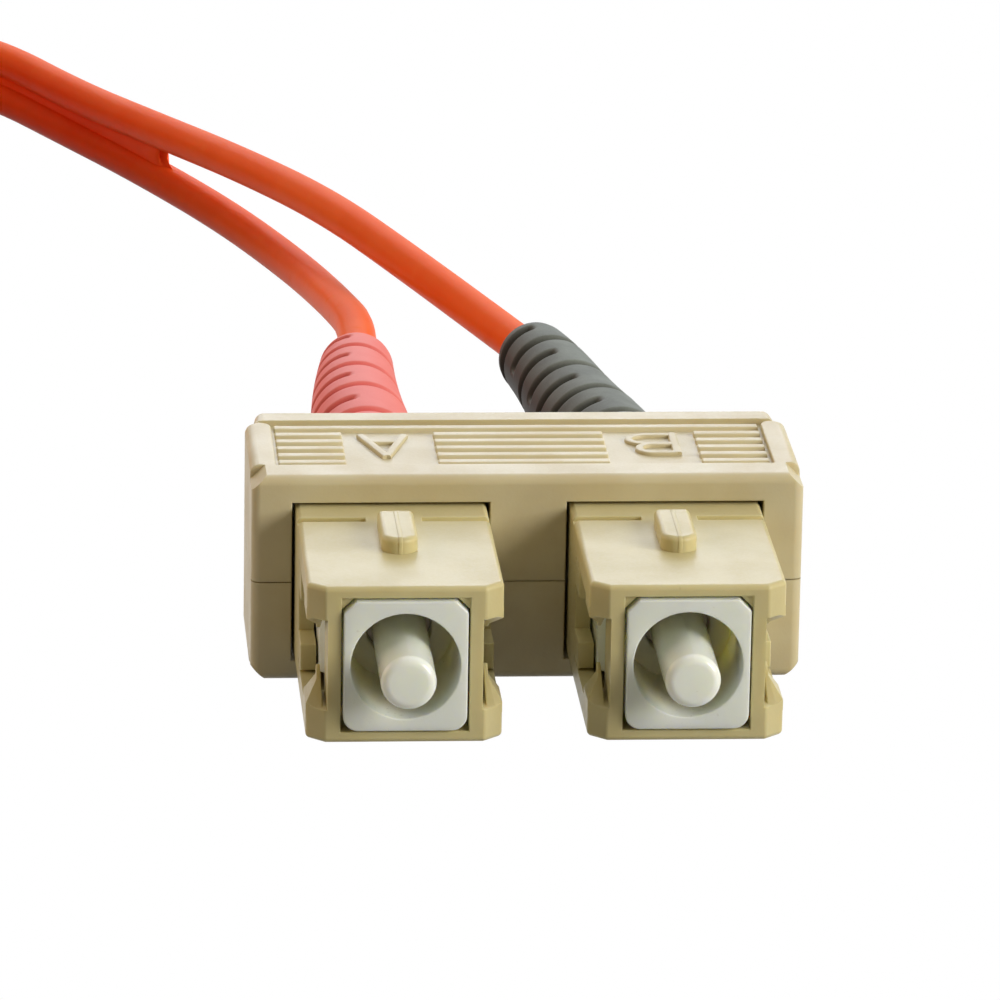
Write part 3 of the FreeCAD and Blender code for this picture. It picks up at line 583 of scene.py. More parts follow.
def boot_profile():
    """Rows of (y, radius): front edge, level and tapered outside with close rows at the slots, a quarter
    circle at the tip, and the bore back to the front."""
    edge = SLOT_HALF_WIDTH + SLOT_SOFT * SLOT_EDGE_ROWS
    close_rows = (SLOTS[:, None] + np.concatenate((edge, -edge, (0,)))).ravel()
    tip_start = BOOT_TIP - BOOT_TIP_ROUND
    rows = np.concatenate((np.arange(BOOT_LEVEL_START, tip_start, BOOT_ROW_STEP), close_rows))
    rows = np.unique(np.round(rows[rows < tip_start], 6))
    share = np.clip((rows - BOOT_LEVEL_END) / (BOOT_TIP - BOOT_LEVEL_END), 0, 1)
    outside = np.column_stack((rows, BOOT_R - (BOOT_R - BOOT_TIP_R) * share))
    angle = np.linspace(0, np.pi / 2, BOOT_TIP_ROWS)
    tip = np.column_stack((
        BOOT_TIP - BOOT_TIP_ROUND * (1 - np.sin(angle)), BOOT_TIP_R - BOOT_TIP_ROUND * (1 - np.cos(angle))
    ))
    return np.vstack((np.array(BOOT_FRONT) * MM, outside, tip, np.array(BOOT_BORE) * MM))


def slot_share(y, angle):
    """1 on the floor of a slot and 0 outside it. Even slots, counted from the tip, face left and odd ones
    face up, and both edges are smooth steps."""
    total = np.zeros(np.broadcast(y, angle).shape)
    for count, middle in enumerate(SLOTS):
        away = np.abs(y - middle)
        low, high = SLOT_TOP if count % 2 else SLOT_SIDE
        off_middle = np.abs((angle - (low + high) / 2 + 180) % 360 - 180)
        along = 1 - smooth_step(away, SLOT_HALF_WIDTH - SLOT_SOFT, SLOT_HALF_WIDTH + SLOT_SOFT)
        around = 1 - smooth_step(off_middle, (high - low) / 2 - SLOT_END_SOFT, (high - low) / 2)
        total = np.maximum(total, along * around)
    return total


def boot(name, line):
    """The profile turned round a strand's line, with the slots as dips on its outside."""
    profile = boot_profile()
    outside = np.arange(len(profile)) < len(profile) - len(BOOT_BORE)
    angle = np.linspace(0, 360, BOOT_COLUMNS, endpoint=False)
    dip = slot_share(profile[:, :1], angle[None]) * outside[:, None]
    radius = profile[:, 1:] - SLOT_DEPTH * dip
    section = np.stack((radius * np.cos(np.radians(angle)), radius * np.sin(np.radians(angle))), axis=-1)
    grid = carried(section, *frames_along(line, profile[:, 0] - JACKET_Y))
    piece = surface_piece(f"{name}_sleeve", [grid], "lead", ring=True, crease=50)
    # The slot share is stored on the points, and the rubber's material uses it to paint shade into the slots.
    point_values(piece, "slot", dip)
    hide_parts(name)
    return piece


boots = {
    name: boot(name, line) for name, line in (
        ("near_boot_a", line_a), ("near_boot_b", line_b),
        ("far_boot_a", line_a[::-1]), ("far_boot_b", line_b[::-1]),
    )
}
print("boots:", ", ".join(f"{piece.name} {len(piece.data.polygons)} faces" for piece in boots.values()))

# %% [markdown]
# ## Moulded pieces
# The clip halves, grip housings and plug frames are injection moulded, and no moulded edge is quite
# sharp. The solids have the large roundings already. Copies of them get the small ones: their
# triangles are merged into flat faces, and each outer edge that has room is rounded. A bevel modifier
# would round all edges by one rule and fold over itself at short ones, so the edges are picked first.

# %% Soft edges
SOFT_EDGE = {"clip_upper": 0.07, "clip_lower": 0.07, "housing": 0.055, "plug_frame": 0.07}
SOFT_SEGMENTS = 3
SOFT_ANGLES = (math.radians(40), math.radians(140))
CHAIN_ANGLE = math.radians(30)
CREASE = math.radians(38)
MERGE_DISTANCE = 0.5e-6
FLAT_ANGLE = math.radians(1.5)
SEAM_REACH = 0.04 * MM
ROOM_PICKED = 2.5
ROOM_PLAIN = 1.5
OLD_SHADING = ("custom_normal", "sharp_edge", "sharp_face")


def crowded(edge, picked, width):
    """True where a neighbour in one of the edge's faces is too short for the rounding to end on it. A
    picked neighbour that runs on in nearly the same direction needs no room."""
    for loop in edge.link_loops:
        for beside in (loop.link_loop_prev.edge, loop.link_loop_next.edge):
            shared = next(vertex for vertex in edge.verts if vertex in beside.verts)
            turn = (edge.other_vert(shared).co - shared.co).angle(shared.co - beside.other_vert(shared).co)
            room = width * (ROOM_PICKED if beside in picked else ROOM_PLAIN)
            if beside.calc_length() < room and not (beside in picked and turn < CHAIN_ANGLE):
                return True
    return False


def roomy_edges(shape, width):
    """Outer edges sharp enough for a rounding, without those that have no room for it and those of the seam
    between the clip's halves, at the height of the plugs' axes."""
    picked = {
        edge for edge in shape.edges
        if edge.is_manifold and edge.is_convex and SOFT_ANGLES[0] < edge.calc_face_angle() < SOFT_ANGLES[1]
        and any(abs(vertex.co.z - AXIS_Z) > SEAM_REACH for vertex in edge.verts)
    }
    while tight := {edge for edge in picked if crowded(edge, picked, width)}:
        picked -= tight
    return list(picked)


def softened(node, width):
    """A copy of a moulded solid with merged faces and slightly rounded outer edges."""
    mesh = bpy.data.meshes.new(f"{node}_moulding")
    shape = bmesh.new()
    shape.from_mesh(nodes[node].data)
    bmesh.ops.remove_doubles(shape, verts=shape.verts, dist=MERGE_DISTANCE)
    bmesh.ops.dissolve_limit(shape, angle_limit=FLAT_ANGLE, verts=shape.verts, edges=shape.edges)
    bmesh.ops.bevel(
        shape, geom=roomy_edges(shape, width), offset=width, offset_type="OFFSET", segments=SOFT_SEGMENTS,
        profile=0.5, affect="EDGES", clamp_overlap=False,
    )
    shape.to_mesh(mesh)
    shape.free()
    for name in OLD_SHADING:
        if name in mesh.attributes:
            mesh.attributes.remove(mesh.attributes[name])
    mesh.shade_smooth()
    mesh.set_sharp_from_angle(angle=CREASE)
    piece = new_object(mesh.name, mesh)
    weighted = piece.modifiers.new("flat_faces", "WEIGHTED_NORMAL")
    weighted.weight = 100
    weighted.keep_sharp = True
    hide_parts(node)
    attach(piece, body_of[node])
    return piece


mouldings = {}
for kind, width in SOFT_EDGE.items():
    for node in [name for name in nodes if kind in name]:
        mouldings[node] = softened(node, width * MM)
face_count = sum(len(piece.data.polygons) for piece in mouldings.values())
print("softened", len(mouldings), "mouldings,", face_count, "faces")

# %% Mouths of the plug frames
def mouth_places(piece, node):
    """Each point's place in millimetres, seen from the middle of the plug's mouth."""
    low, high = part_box(node)
    return (points_of(piece.data) - ((low.x + high.x) / 2, low.y, AXIS_Z)) / MM


plug_frames = {node: piece for node, piece in mouldings.items() if "plug_frame" in node}
# These places let the frame's material paint warm light inside the mouth.
for node, piece in plug_frames.items():
    point_values(piece, "mouth", mouth_places(piece, node), "FLOAT_VECTOR")
print("mouth places on", len(plug_frames), "plug frames")

# %% [markdown]
# ## Parting lines
# Where the two halves of a mould meet, they leave a hair-thin ridge. On a grip housing it shows along the
# top of the key and down its nose. It is far too fine for the solids, so a small arched section is
# carried along that line.

# %% Parting lines
LINE_HALF_WIDTH = 0.1 * MM
LINE_RISE = 0.018 * MM
LINE_SINK = 0.03 * MM
LINE_COLUMNS = 7
KEY_TAIL = 3.2
KEY_NOSE = 7.3
KEY_RISE = 0.75
KEY_CORNER = 0.25
KEY_CORNER_ROWS = 9
NOSE_SINK = 0.02
ROOF = 7.35 / 2


def parting_path():
    """Rows of (y, z) in millimetres from the clip's face and the plug's axis: a straight run on the key, a
    quarter circle at its upper front edge, and a straight run down the nose."""
    turn = np.linspace(0, np.pi / 2, KEY_CORNER_ROWS)
    key_top = ROOF + KEY_RISE
    nose = np.column_stack((
        KEY_CORNER * (1 - np.sin(turn)) - KEY_NOSE, key_top - KEY_CORNER * (1 - np.cos(turn))
    ))
    return np.vstack(((-KEY_TAIL, key_top), nose, (-KEY_NOSE, ROOF - NOSE_SINK)))


def parting_line(node):
    """Section (w, h) with h = rise (1 - (w / half width)^2), sunk a little into the housing and carried along
    the path in its middle plane."""
    low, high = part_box(node)
    path = parting_path() * MM
    middle = np.full(len(path), (low.x + high.x) / 2)
    places = np.column_stack((middle, path[:, 0] + FACE_Y, path[:, 1] + AXIS_Z))
    along = unit(np.gradient(places, axis=0))
    up = np.column_stack((np.zeros(len(path)), along[:, 2], -along[:, 1]))
    across = np.linspace(-1, 1, LINE_COLUMNS)
    arch = np.column_stack((LINE_HALF_WIDTH * across, LINE_RISE * (1 - across**2)))
    grid = carried(footed(arch, LINE_SINK), places, (1, 0, 0), up)
    name = node.replace("housing", "parting_line")
    return surface_piece(name, [grid], body_of[node], capped=True, crease=80)


ridges = [parting_line(node) for node in mouldings if "housing" in node]
parting_lines = {ridge.name: ridge for ridge in ridges}
print("parting lines:", len(parting_lines))

# %% [markdown]
# ## Letters
# Each clip has two raised letters in the bare fields of its grip panel, which tell the two fibres
# apart. A text object would bring its own font and many faces, so each letter is a few strokes: a
# flat-topped section carried along straight lines and half ellipses. Where strokes cross, one lies a
# hair lower, so that no two tops share a plane.

# %% Letters
PANEL_DEPTH = 0.3 * MM
LETTER_RISE = 0.18 * MM
STROKE_STEP = 0.01 * MM
LETTER_SINK = 0.05 * MM
STROKE_HALF_WIDTH = 0.2 * MM
STROKE_COLUMNS = 13
STROKE_SQUARENESS = (0.5, 0.35)
STRAIGHT_ROWS = 6
BOWL_ROWS = 25
PANEL_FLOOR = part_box("near_clip_upper")[1].z - PANEL_DEPTH


def straight(x0, y0, x1, y1):
    """A straight stroke's path, in millimetres from the middle of the clip's face."""
    return np.linspace((x0, y0), (x1, y1), STRAIGHT_ROWS)


def bowl(x_stem, x_turn, x_end, y0, y1):
    """A bowl's path: out from the stem, half an ellipse, and back to the stem."""
    angle = np.linspace(-np.pi / 2, np.pi / 2, BOWL_ROWS)
    middle, half = (y0 + y1) / 2, (y1 - y0) / 2
    turn = np.column_stack((x_turn - (x_turn - x_end) * np.cos(angle), middle + half * np.sin(angle)))
    return np.vstack(((x_stem, y0), turn, (x_stem, y1)))


LETTER_A = [
    straight(-6.36, 3.8, -7.42, 7.16), straight(-6.36, 3.8, -5.38, 7.16), straight(-7.1, 6.15, -5.67, 6.15)
]
LETTER_B = [
    straight(7.28, 4.1, 7.28, 7.2), bowl(7.28, 6.2, 5.55, 4.22, 5.56), bowl(7.28, 6.1, 5.17, 5.64, 7.08)
]


def raised_stroke(path, shift, rise):
    """A flat-topped section, sunk a little into the panel, carried along a flat path. Across it, width and
    height follow cos and sin of one angle, each raised to a small power, which squares the corners."""
    places = np.column_stack((path * MM, np.zeros(len(path)))) + (shift, FACE_Y, PANEL_FLOOR)
    side = unit(np.cross(np.gradient(places, axis=0), (0, 0, 1)))
    angle = np.linspace(0, np.pi, STROKE_COLUMNS)
    across, over = squared(np.cos(angle), STROKE_SQUARENESS[0]), squared(np.sin(angle), STROKE_SQUARENESS[1])
    arch = np.column_stack((STROKE_HALF_WIDTH * across, rise * over))
    return carried(footed(arch, LETTER_SINK), places, side, (0, 0, 1))


letters = {}
for end, shift in (("near", 0), ("far", FAR_X)):
    for letter, strokes in (("a", LETTER_A), ("b", LETTER_B)):
        grids = [raised_stroke(path, shift, LETTER_RISE - k * STROKE_STEP) for k, path in enumerate(strokes)]
        name = f"{end}_letter_{letter}"
        letters[name] = surface_piece(name, grids, f"{end}_grip", capped=True, crease=70)
print("letters:", ", ".join(letters))

# %% [markdown]
# ## Strap round the coil
# A woven hook strap holds the coil. It is one flat band: a rounded rectangle round the bundle, and then
# once more over the top, where its end lies on itself.

# %% Strap
BUNDLE_INNER_R = 15.9 * MM
BUNDLE_OUTER_R = 24.55 * MM
BUNDLE_BOTTOM = 0.5 * MM
BUNDLE_TOP = 8.8 * MM
STRAP_HALF_WIDTH = 2.0 * MM
STRAP_T = 0.5 * MM
STRAP_CORNER = 1.6 * MM
STRAP_ROWS = 320
STRAP_RAMP = 2.5 * MM
STRAP_LIFT = 1.04 * STRAP_T
STRAP_COLUMNS = 28
STRAP_SQUARENESS = 0.35
OUTLINE_POINTS = 200
OUTLINE_START = np.pi / 2 + 0.001


def rounded_rectangle(half_w, half_h, corner):
    """Closed outline: corner centres plus a full circle's points, shared out by the signs of cos and sin."""
    angle = OUTLINE_START - np.linspace(0, 2 * np.pi, OUTLINE_POINTS, endpoint=False)
    x = np.sign(np.cos(angle)) * (half_w - corner) + corner * np.cos(angle)
    z = np.sign(np.sin(angle)) * (half_h - corner) + corner * np.sin(angle)
    return np.column_stack((x, z))


def strap_grid():
    """A flat lens section carried once round the bundle and over its own start, which it rises onto."""
    half_w = (BUNDLE_OUTER_R - BUNDLE_INNER_R + STRAP_T) / 2
    half_h = (BUNDLE_TOP - BUNDLE_BOTTOM + STRAP_T) / 2
    loop = rounded_rectangle(half_w, half_h, STRAP_CORNER)
    loop = np.vstack((loop, loop, loop[:1]))
    around = length_of(loop) / 2
    wanted = np.linspace(0, around + half_w + STRAP_CORNER, STRAP_ROWS)
    flat = points_along(loop, wanted)
    heading = unit(np.gradient(flat, axis=0))
    outward = np.column_stack((-heading[:, 1], heading[:, 0]))
    lift = STRAP_LIFT * smooth_step(wanted, around - STRAP_CORNER - STRAP_RAMP, around - STRAP_CORNER)
    flat = flat + outward * lift[:, None]
    middle_r = (BUNDLE_OUTER_R + BUNDLE_INNER_R) / 2
    middle_z = (BUNDLE_TOP + BUNDLE_BOTTOM) / 2
    level = np.zeros(STRAP_ROWS)
    x, y = COIL_CENTRE[:2]
    places = np.column_stack((level + x, y - middle_r - flat[:, 0], middle_z + flat[:, 1]))
    up = np.column_stack((level, -outward[:, 0], outward[:, 1]))
    angle = np.linspace(0, 2 * np.pi, STRAP_COLUMNS, endpoint=False)
    across = STRAP_HALF_WIDTH * squared(np.cos(angle), STRAP_SQUARENESS)
    thick = STRAP_T / 2 * squared(np.sin(angle), STRAP_SQUARENESS)
    woven = np.stack(np.broadcast_arrays(wanted[:, None], across[None], 0.0), axis=-1)
    return carried(np.column_stack((across, thick)), places, (1, 0, 0), up), woven


strap_points, strap_weave = strap_grid()
strap = surface_piece("coil_strap", [strap_points], "lead", capped=True)
point_values(strap, "weave", strap_weave, "FLOAT_VECTOR")
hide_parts("coil_tie")
print("strap with", len(strap.data.polygons), "faces")

# %% [markdown]
# ## Finishes
# A real finish is never one flat colour: mouldings are mottled and finely grained, rubber has a pale
# bloom, partly painted sheen, with painted shade in its slots, turned metal has rings, and a jacket has
# scuffs. Each such effect is a node group with its own inputs, built once and used by every material that
# needs it. All patterns read object coordinates, so they stay on the pieces when these move. A cloud is
# given by its clouds a metre, its detail and the range of noise that it spreads.

# %% Moulded plastic
MOTTLE = (330, 4, 0.35, 0.7)
MOTTLE_ROUGHNESS = 0.06
MOTTLE_HEIGHT = 0.4
PLASTIC_GRAIN = 7000
GRAIN_ROUGHNESS = 0.3
SPECKS = (3300, 0, 0.84, 0.9, 0.12)
SPECK_COLOUR = (0.22, 0.16, 0.08, 1)


def moulded_plastic_group():
    """Slow mottle between two tones, a fine grain in height and roughness, and rare small specks."""
    group, given, out, coords = new_group("moulded_plastic", ("Colour", "Shade"), ("Roughness",))
    mottle = clouds(group, coords, *MOTTLE)
    grain = noise(group, coords, PLASTIC_GRAIN)
    tone = blended(group, mottle, given["Colour"], given["Shade"])
    uneven = sums(group, "SUBTRACT", grain, 0.5)
    rough = sums(group, "MULTIPLY_ADD", uneven, GRAIN_ROUGHNESS, given["Roughness"])
    feed(group, out, {
        "Colour": blended(group, clouds(group, coords, *SPECKS), tone, SPECK_COLOUR),
        "Roughness": sums(group, "MULTIPLY_ADD", mottle, MOTTLE_ROUGHNESS, rough),
        "Height": sums(group, "MULTIPLY_ADD", mottle, MOTTLE_HEIGHT, grain),
    })
    return group


moulded_plastic = moulded_plastic_group()
print("group", moulded_plastic.name)

# %% Rubber bloom and painted sheen
BLOOM_AND_SHEEN_CLOUDS = (520, 4, 0.3, 0.75)
BLOOM_POWDER = 9000
BLOOM_AND_SHEEN_PARTS = (0.45, 0.35, 0.25)
BLOOM_ROUGHNESS = 0.15
DUST_AND_LIGHT_SIDE = (0.55, -0.1, 0.83)
DUST_AND_LIGHT_RANGE = (-0.5, 0.9)
SLOT_SHADE_SHARE = 0.8


def rubber_bloom_and_sheen_group():
    """Pale wax cloud on soft rubber, partly real bloom and partly painted sheen. It is thicker on the side
    that faces up and to the right, partly dust that settles there and partly painted light where the lamps
    fall. It is thin in a slot, where a darker slot colour paints shade, and it has a powdery grain. Its parts
    are an even share, the clouds and the powder."""
    group, given, out, coords = new_group("rubber_bloom_and_sheen", ("Colour", "Bloom_and_sheen", "Slot_shade"), ("Roughness",))
    even, cloudy, powdery = BLOOM_AND_SHEEN_PARTS
    powder = noise(group, coords, BLOOM_POWDER)
    share = sums(group, "MULTIPLY_ADD", clouds(group, coords, *BLOOM_AND_SHEEN_CLOUDS), cloudy, even)
    share = sums(group, "MULTIPLY_ADD", powder, powdery, share)
    # Painted light, partly real dust: the share grows on faces turned up and to the right, towards the lamps.
    normal = new_node(group, "TexCoord", {}).outputs["Normal"]
    facing_dust_and_light = new_node(group, "VectorMath", {0: normal, 1: DUST_AND_LIGHT_SIDE}, operation="DOT_PRODUCT")
    share = sums(group, "MULTIPLY", share, spread(group, facing_dust_and_light.outputs["Value"], *DUST_AND_LIGHT_RANGE))
    with_bloom_and_sheen = blended(group, share, given["Colour"], given["Bloom_and_sheen"])
    # Painted shade in the slots: the bloom thins there and the darker slot colour takes over.
    in_slot_shade = sums(group, "MULTIPLY", stored(group, "slot")["Fac"], SLOT_SHADE_SHARE)
    feed(group, out, {
        "Colour": blended(group, in_slot_shade, with_bloom_and_sheen, given["Slot_shade"]),
        "Roughness": sums(group, "MULTIPLY_ADD", share, BLOOM_ROUGHNESS, given["Roughness"]),
        "Height": powder,
    })
    return group


rubber_bloom_and_sheen = rubber_bloom_and_sheen_group()
print("group", rubber_bloom_and_sheen.name)

# %% Jacket skin
JACKET_CLOUDS = (240, 3, 0.35, 0.7)
JACKET_GRAIN = 6000
SCUFFS = (900, 6, 0.58, 0.78)
SCUFF_SHARE = 0.35
SCUFF_ROUGHNESS = 0.2
SCUFF_HEIGHT = 0.5


def jacket_skin_group():
    """Extruded jacket: two close tones in slow clouds, dull scuffs and a fine grain."""
    group, given, out, coords = new_group("jacket_skin", ("Colour", "Shade", "Scuff"), ("Roughness",))
    scuff = clouds(group, coords, *SCUFFS)
    tone = blended(group, clouds(group, coords, *JACKET_CLOUDS), given["Colour"], given["Shade"])
    feed(group, out, {
        "Colour": blended(group, sums(group, "MULTIPLY", scuff, SCUFF_SHARE), tone, given["Scuff"]),
        "Roughness": sums(group, "MULTIPLY_ADD", scuff, SCUFF_ROUGHNESS, given["Roughness"]),
        "Height": sums(group, "MULTIPLY_ADD", scuff, SCUFF_HEIGHT, noise(group, coords, JACKET_GRAIN)),
    })
    return group


jacket_skin = jacket_skin_group()
print("group", jacket_skin.name)

# %% Turned metal
RING_WANDER = 5.0
WANDER_CLOUDS = 1500
RING_SHARE = 0.35
MARKS = (1100, 5, 0.45, 0.75)
MARK_SHARE = 0.5
WORN_ROUGHNESS = 0.2


def turned_metal_group():
    """Tool rings across the y axis: a sine of y with a slow wander, and a cloud of handling marks."""
    group, given, out, coords = new_group("turned_metal", ("Colour", "Shade"), ("Rings", "Roughness"))
    wander = sums(group, "MULTIPLY", noise(group, coords, WANDER_CLOUDS), RING_WANDER)
    phase = sums(group, "MULTIPLY_ADD", split(group, coords)["Y"], given["Rings"], wander)
    ring = sums(group, "MULTIPLY_ADD", sums(group, "SINE", phase), 0.5, 0.5)
    marks = sums(group, "MULTIPLY", clouds(group, coords, *MARKS), MARK_SHARE)
    share = sums(group, "MULTIPLY_ADD", ring, RING_SHARE, marks)
    feed(group, out, {
        "Colour": blended(group, share, given["Colour"], given["Shade"]),
        "Roughness": sums(group, "MULTIPLY_ADD", share, WORN_ROUGHNESS, given["Roughness"]),
        "Height": ring,
    })
    return group


turned_metal = turned_metal_group()
print("group", turned_metal.name)

# %% [markdown]
# ## Materials
# Each material places one group, sends its colour, roughness and height to a Principled shader, and
# sets the constant values, such as the specular level, on the shader itself. The plastics let a
# little light through their surface, which softens the shade on thin edges.

# %% Materials
GRAIN_DISTANCE = 0.02 * MM
MOUTH_WALL = (2.46, 2.58)
MOUTH_DEPTH = (0.1, 2.4)


def finish(name, group, given, bump, constants, tint=None):
    """A Principled material whose colour, roughness and bump come from a group. A tint is a function that
    changes the colour by place. The plug frames' tint paints light inside their mouths."""
    material = bpy.data.materials.new(name)
    material.use_nodes = True
    tree = material.node_tree
    surface = new_node(tree, "Group", given, node_tree=group).outputs
    grain = new_node(tree, "Bump", {"Strength": bump, "Distance": GRAIN_DISTANCE, "Height": surface["Height"]})
    feed(tree, tree.nodes["Principled BSDF"], {
        "Base Color": tint(tree, surface["Colour"]) if tint else surface["Colour"],
        "Roughness": surface["Roughness"],
        "Normal": grain.outputs["Normal"],
        **constants,
    })
    return material


def rgb(red, green, blue):
    """A colour in linear light."""
    return (red, green, blue, 1)


def painted_mouth_light(tree, colour):
    """Painted light: warmer walls inside the plug's mouth, growing with depth, standing in for light that
    comes through the beige grip.
    """
    axes = split(tree, stored(tree, "mouth")["Vector"])
    squares = [sums(tree, "MULTIPLY", axes[axis], axes[axis]) for axis in "XZ"]
    radius = sums(tree, "SQRT", sums(tree, "ADD", *squares))
    inside = spread(tree, radius, *MOUTH_WALL, 1.0, 0.0)
    depth = spread(tree, axes["Y"], *MOUTH_DEPTH)
    return blended(tree, sums(tree, "MULTIPLY", inside, depth), colour, MOUTH_PAINTED_LIGHT)


SPECULAR = "Specular IOR Level"
# The warm colour that paints light on the walls inside the plug's mouth.
MOUTH_PAINTED_LIGHT = rgb(0.97, 0.90, 0.66)
MILKY = {"Subsurface Weight": 0.3, "Subsurface Scale": 0.9 * MM, "Subsurface Radius": (1.0, 0.75, 0.4)}
MILKY_WHITE = {"Subsurface Weight": 0.6, "Subsurface Scale": 1.6 * MM, "Subsurface Radius": (1.0, 0.9, 0.5)}
MILKY_CERAMIC = {**MILKY_WHITE, "Subsurface Scale": 1.0 * MM}
SOFT_JACKET = {"Subsurface Weight": 0.4, "Subsurface Scale": 0.7 * MM, "Subsurface Radius": (1.0, 0.3, 0.1)}
CLIP = dict(Colour=rgb(0.61, 0.54, 0.35), Shade=rgb(0.57, 0.49, 0.30), Roughness=0.42)
HOUSING = dict(Colour=rgb(0.615, 0.545, 0.3), Shade=rgb(0.57, 0.5, 0.265), Roughness=0.36)
FRAME = dict(Colour=rgb(0.85, 0.91, 0.85), Shade=rgb(0.82, 0.88, 0.81), Roughness=0.32)
CERAMIC = dict(Colour=rgb(0.87, 0.92, 0.88), Shade=rgb(0.84, 0.89, 0.85), Roughness=0.14)
BUFFER = dict(
    Colour=rgb(0.82, 0.82, 0.78), Shade=rgb(0.76, 0.76, 0.7), Scuff=rgb(0.6, 0.6, 0.56), Roughness=0.4
)
CORD = dict(
    Colour=rgb(0.98, 0.14, 0.028), Shade=rgb(0.95, 0.125, 0.022), Scuff=rgb(0.94, 0.18, 0.05), Roughness=0.36
)
# The rubbers' pale colour is partly bloom and partly painted sheen, and their slot colour is painted shade.
RED_RUBBER = dict(
    Colour=rgb(0.76, 0.12, 0.10), Bloom_and_sheen=rgb(0.85, 0.24, 0.21), Slot_shade=rgb(0.64, 0.085, 0.09), Roughness=0.5
)
BLACK_RUBBER = dict(
    Colour=rgb(0.03, 0.029, 0.024), Bloom_and_sheen=rgb(0.25, 0.275, 0.255), Slot_shade=rgb(0.025, 0.024, 0.02),
    Roughness=0.55,
)
RECIPES = {
    "clip_cream": (moulded_plastic, CLIP, 0.25, {SPECULAR: 0.5, **MILKY}),
    "clip_letter": (moulded_plastic, CLIP, 0.25, {SPECULAR: 0.5}),
    "housing_beige": (moulded_plastic, HOUSING, 0.2, {SPECULAR: 0.25, **MILKY}),
    "housing_line": (moulded_plastic, HOUSING, 0.2, {SPECULAR: 0.25}),
    "frame_white": (moulded_plastic, FRAME, 0.15, {SPECULAR: 0.33, **MILKY_WHITE}, painted_mouth_light),
    "ferrule_ceramic": (moulded_plastic, CERAMIC, 0.05, {SPECULAR: 0.6, **MILKY_CERAMIC}),
    "fibre_buffer": (jacket_skin, BUFFER, 0.2, {SPECULAR: 0.33}),
    "cord_orange": (jacket_skin, CORD, 0.25, {SPECULAR: 0.012, **SOFT_JACKET}),
    "cord_web": (jacket_skin, CORD, 0.25, {SPECULAR: 0.012}),
    "boot_red": (rubber_bloom_and_sheen, RED_RUBBER, 0.2, {SPECULAR: 0.3}),
    "boot_black": (rubber_bloom_and_sheen, BLACK_RUBBER, 0.2, {SPECULAR: 0.15}),
}
METALS = {
    "flange_metal": (rgb(0.36, 0.31, 0.22), rgb(0.26, 0.22, 0.15), 60000.0, 0.4, 0.2),
    "spring_steel": (rgb(0.55, 0.55, 0.57), rgb(0.38, 0.38, 0.4), 90000.0, 0.22, 0.1),
    "stop_ring_metal": (rgb(0.72, 0.56, 0.28), rgb(0.52, 0.38, 0.17), 50000.0, 0.28, 0.2),
    "crimp_metal": (rgb(0.68, 0.68, 0.70), rgb(0.5, 0.5, 0.52), 40000.0, 0.35, 0.25),
}
for name, (colour, shade, rings, roughness, bump) in METALS.items():
    given = dict(Colour=colour, Shade=shade, Rings=rings, Roughness=roughness)
    RECIPES[name] = (turned_metal, given, bump, {"Metallic": 1.0})
finishes = {name: finish(name, *recipe) for name, recipe in RECIPES.items()}
print("materials:", ", ".join(finishes))

# %% [markdown]
# ## Woven strap
# The strap is woven nylon. Two sets of threads cross at right angles: on each small square one of them
# lies on top, turn and turn about. The strap's own lengthwise and crosswise positions are stored on its
# points, so the threads follow it round the bundle.

# %% Strap weave
THREADS_PER_METRE = 2600.0
FUZZ_CLOUDS = 5000
FUZZ_SHARE = 0.3
WEAVE_DISTANCE = 0.06 * MM
THREAD_IN_PAINTED_SHADE = rgb(0.008, 0.008, 0.009)
THREAD_IN_PAINTED_HIGHLIGHT = rgb(0.05, 0.05, 0.055)


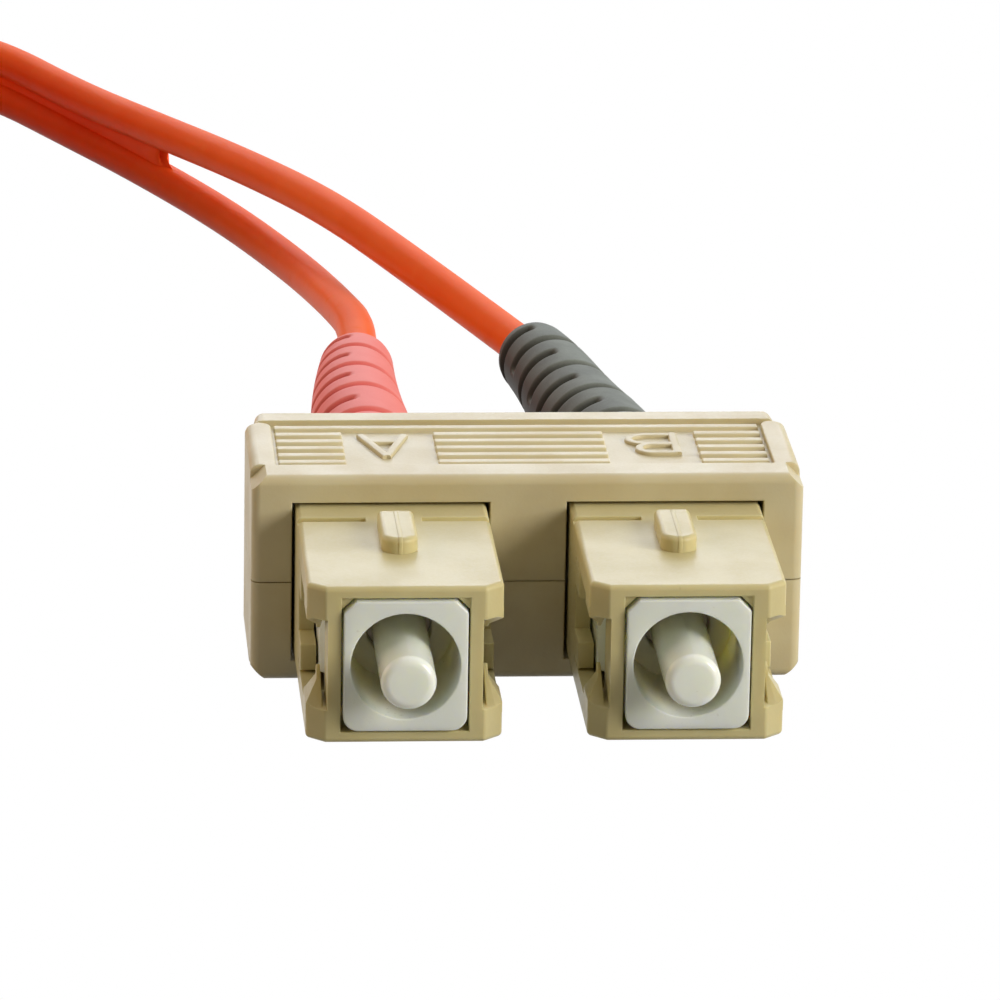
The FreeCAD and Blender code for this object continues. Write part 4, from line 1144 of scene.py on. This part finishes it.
def strap_weave_material():
    """Height of a plain weave: |sin a| where one thread is up and |sin b| where the other is, chosen by
    the sign of sin a sin b."""
    material = bpy.data.materials.new("tie_black")
    material.use_nodes = True
    tree = material.node_tree
    axes = split(tree, stored(tree, "weave")["Vector"])
    turn = THREADS_PER_METRE * math.pi
    warp, weft = (sums(tree, "SINE", sums(tree, "MULTIPLY", axes[axis], turn)) for axis in "XY")
    over = spread(tree, sums(tree, "MULTIPLY", warp, weft), -0.2, 0.2)
    warp_up = sums(tree, "MULTIPLY", sums(tree, "ABSOLUTE", warp), over)
    under = sums(tree, "SUBTRACT", 1.0, over)
    height = sums(tree, "MULTIPLY_ADD", sums(tree, "ABSOLUTE", weft), under, warp_up)
    fuzz = noise(tree, new_node(tree, "TexCoord", {}).outputs["Object"], FUZZ_CLOUDS, 3)
    uneven = sums(tree, "MULTIPLY", fuzz, FUZZ_SHARE)
    share = sums(tree, "MULTIPLY_ADD", height, 1 - FUZZ_SHARE, uneven)
    bump = new_node(tree, "Bump", {"Strength": 0.8, "Distance": WEAVE_DISTANCE, "Height": share})
    # The colour follows the weave's height: painted shade in the hollows and a painted highlight on the raised
    # threads, with random fuzz.
    feed(tree, tree.nodes["Principled BSDF"], {
        "Base Color": blended(tree, share, THREAD_IN_PAINTED_SHADE, THREAD_IN_PAINTED_HIGHLIGHT),
        "Roughness": sums(tree, "ADD", uneven, 0.5),
        "Normal": bump.outputs["Normal"],
        SPECULAR: 0.3,
        "Sheen Weight": 0.2,
    })
    return material


finishes["tie_black"] = strap_weave_material()
print("threads every", round(1000 / THREADS_PER_METRE, 2), "mm")

# %% [markdown]
# ## Dressing the pieces
# Every piece takes the material of its slot. The pieces of the solids that stay visible, such as
# ferrules, springs and rings, get theirs through their objects' own slots.

# %% Dress
new_pieces = {strand_a: "cord_orange", strand_b: "cord_orange", web: "cord_web", strap: "tie_black"}
new_pieces.update({piece: slot_of[name] for name, piece in {**boots, **mouldings}.items()})
new_pieces.update(dict.fromkeys(letters.values(), "clip_letter"))
new_pieces.update(dict.fromkeys(parting_lines.values(), "housing_line"))
for piece, slot in new_pieces.items():
    piece.data.materials.clear()
    piece.data.materials.append(finishes[slot])
for name, node in nodes.items():
    node.material_slots[0].material = finishes[slot_of[name]]
print("dressed", len(new_pieces), "new pieces and", len(nodes), "nodes")

# %% [markdown]
# ## Last update
# The lead is sold in stock lengths, and the picture shows only its start, so about one metre is declared
# for each strand. The far plugs and everything on them belong to the cord's far end. This last cell only
# brings the view layer up to date.

# %% Last update
bpy.context.view_layer.update()
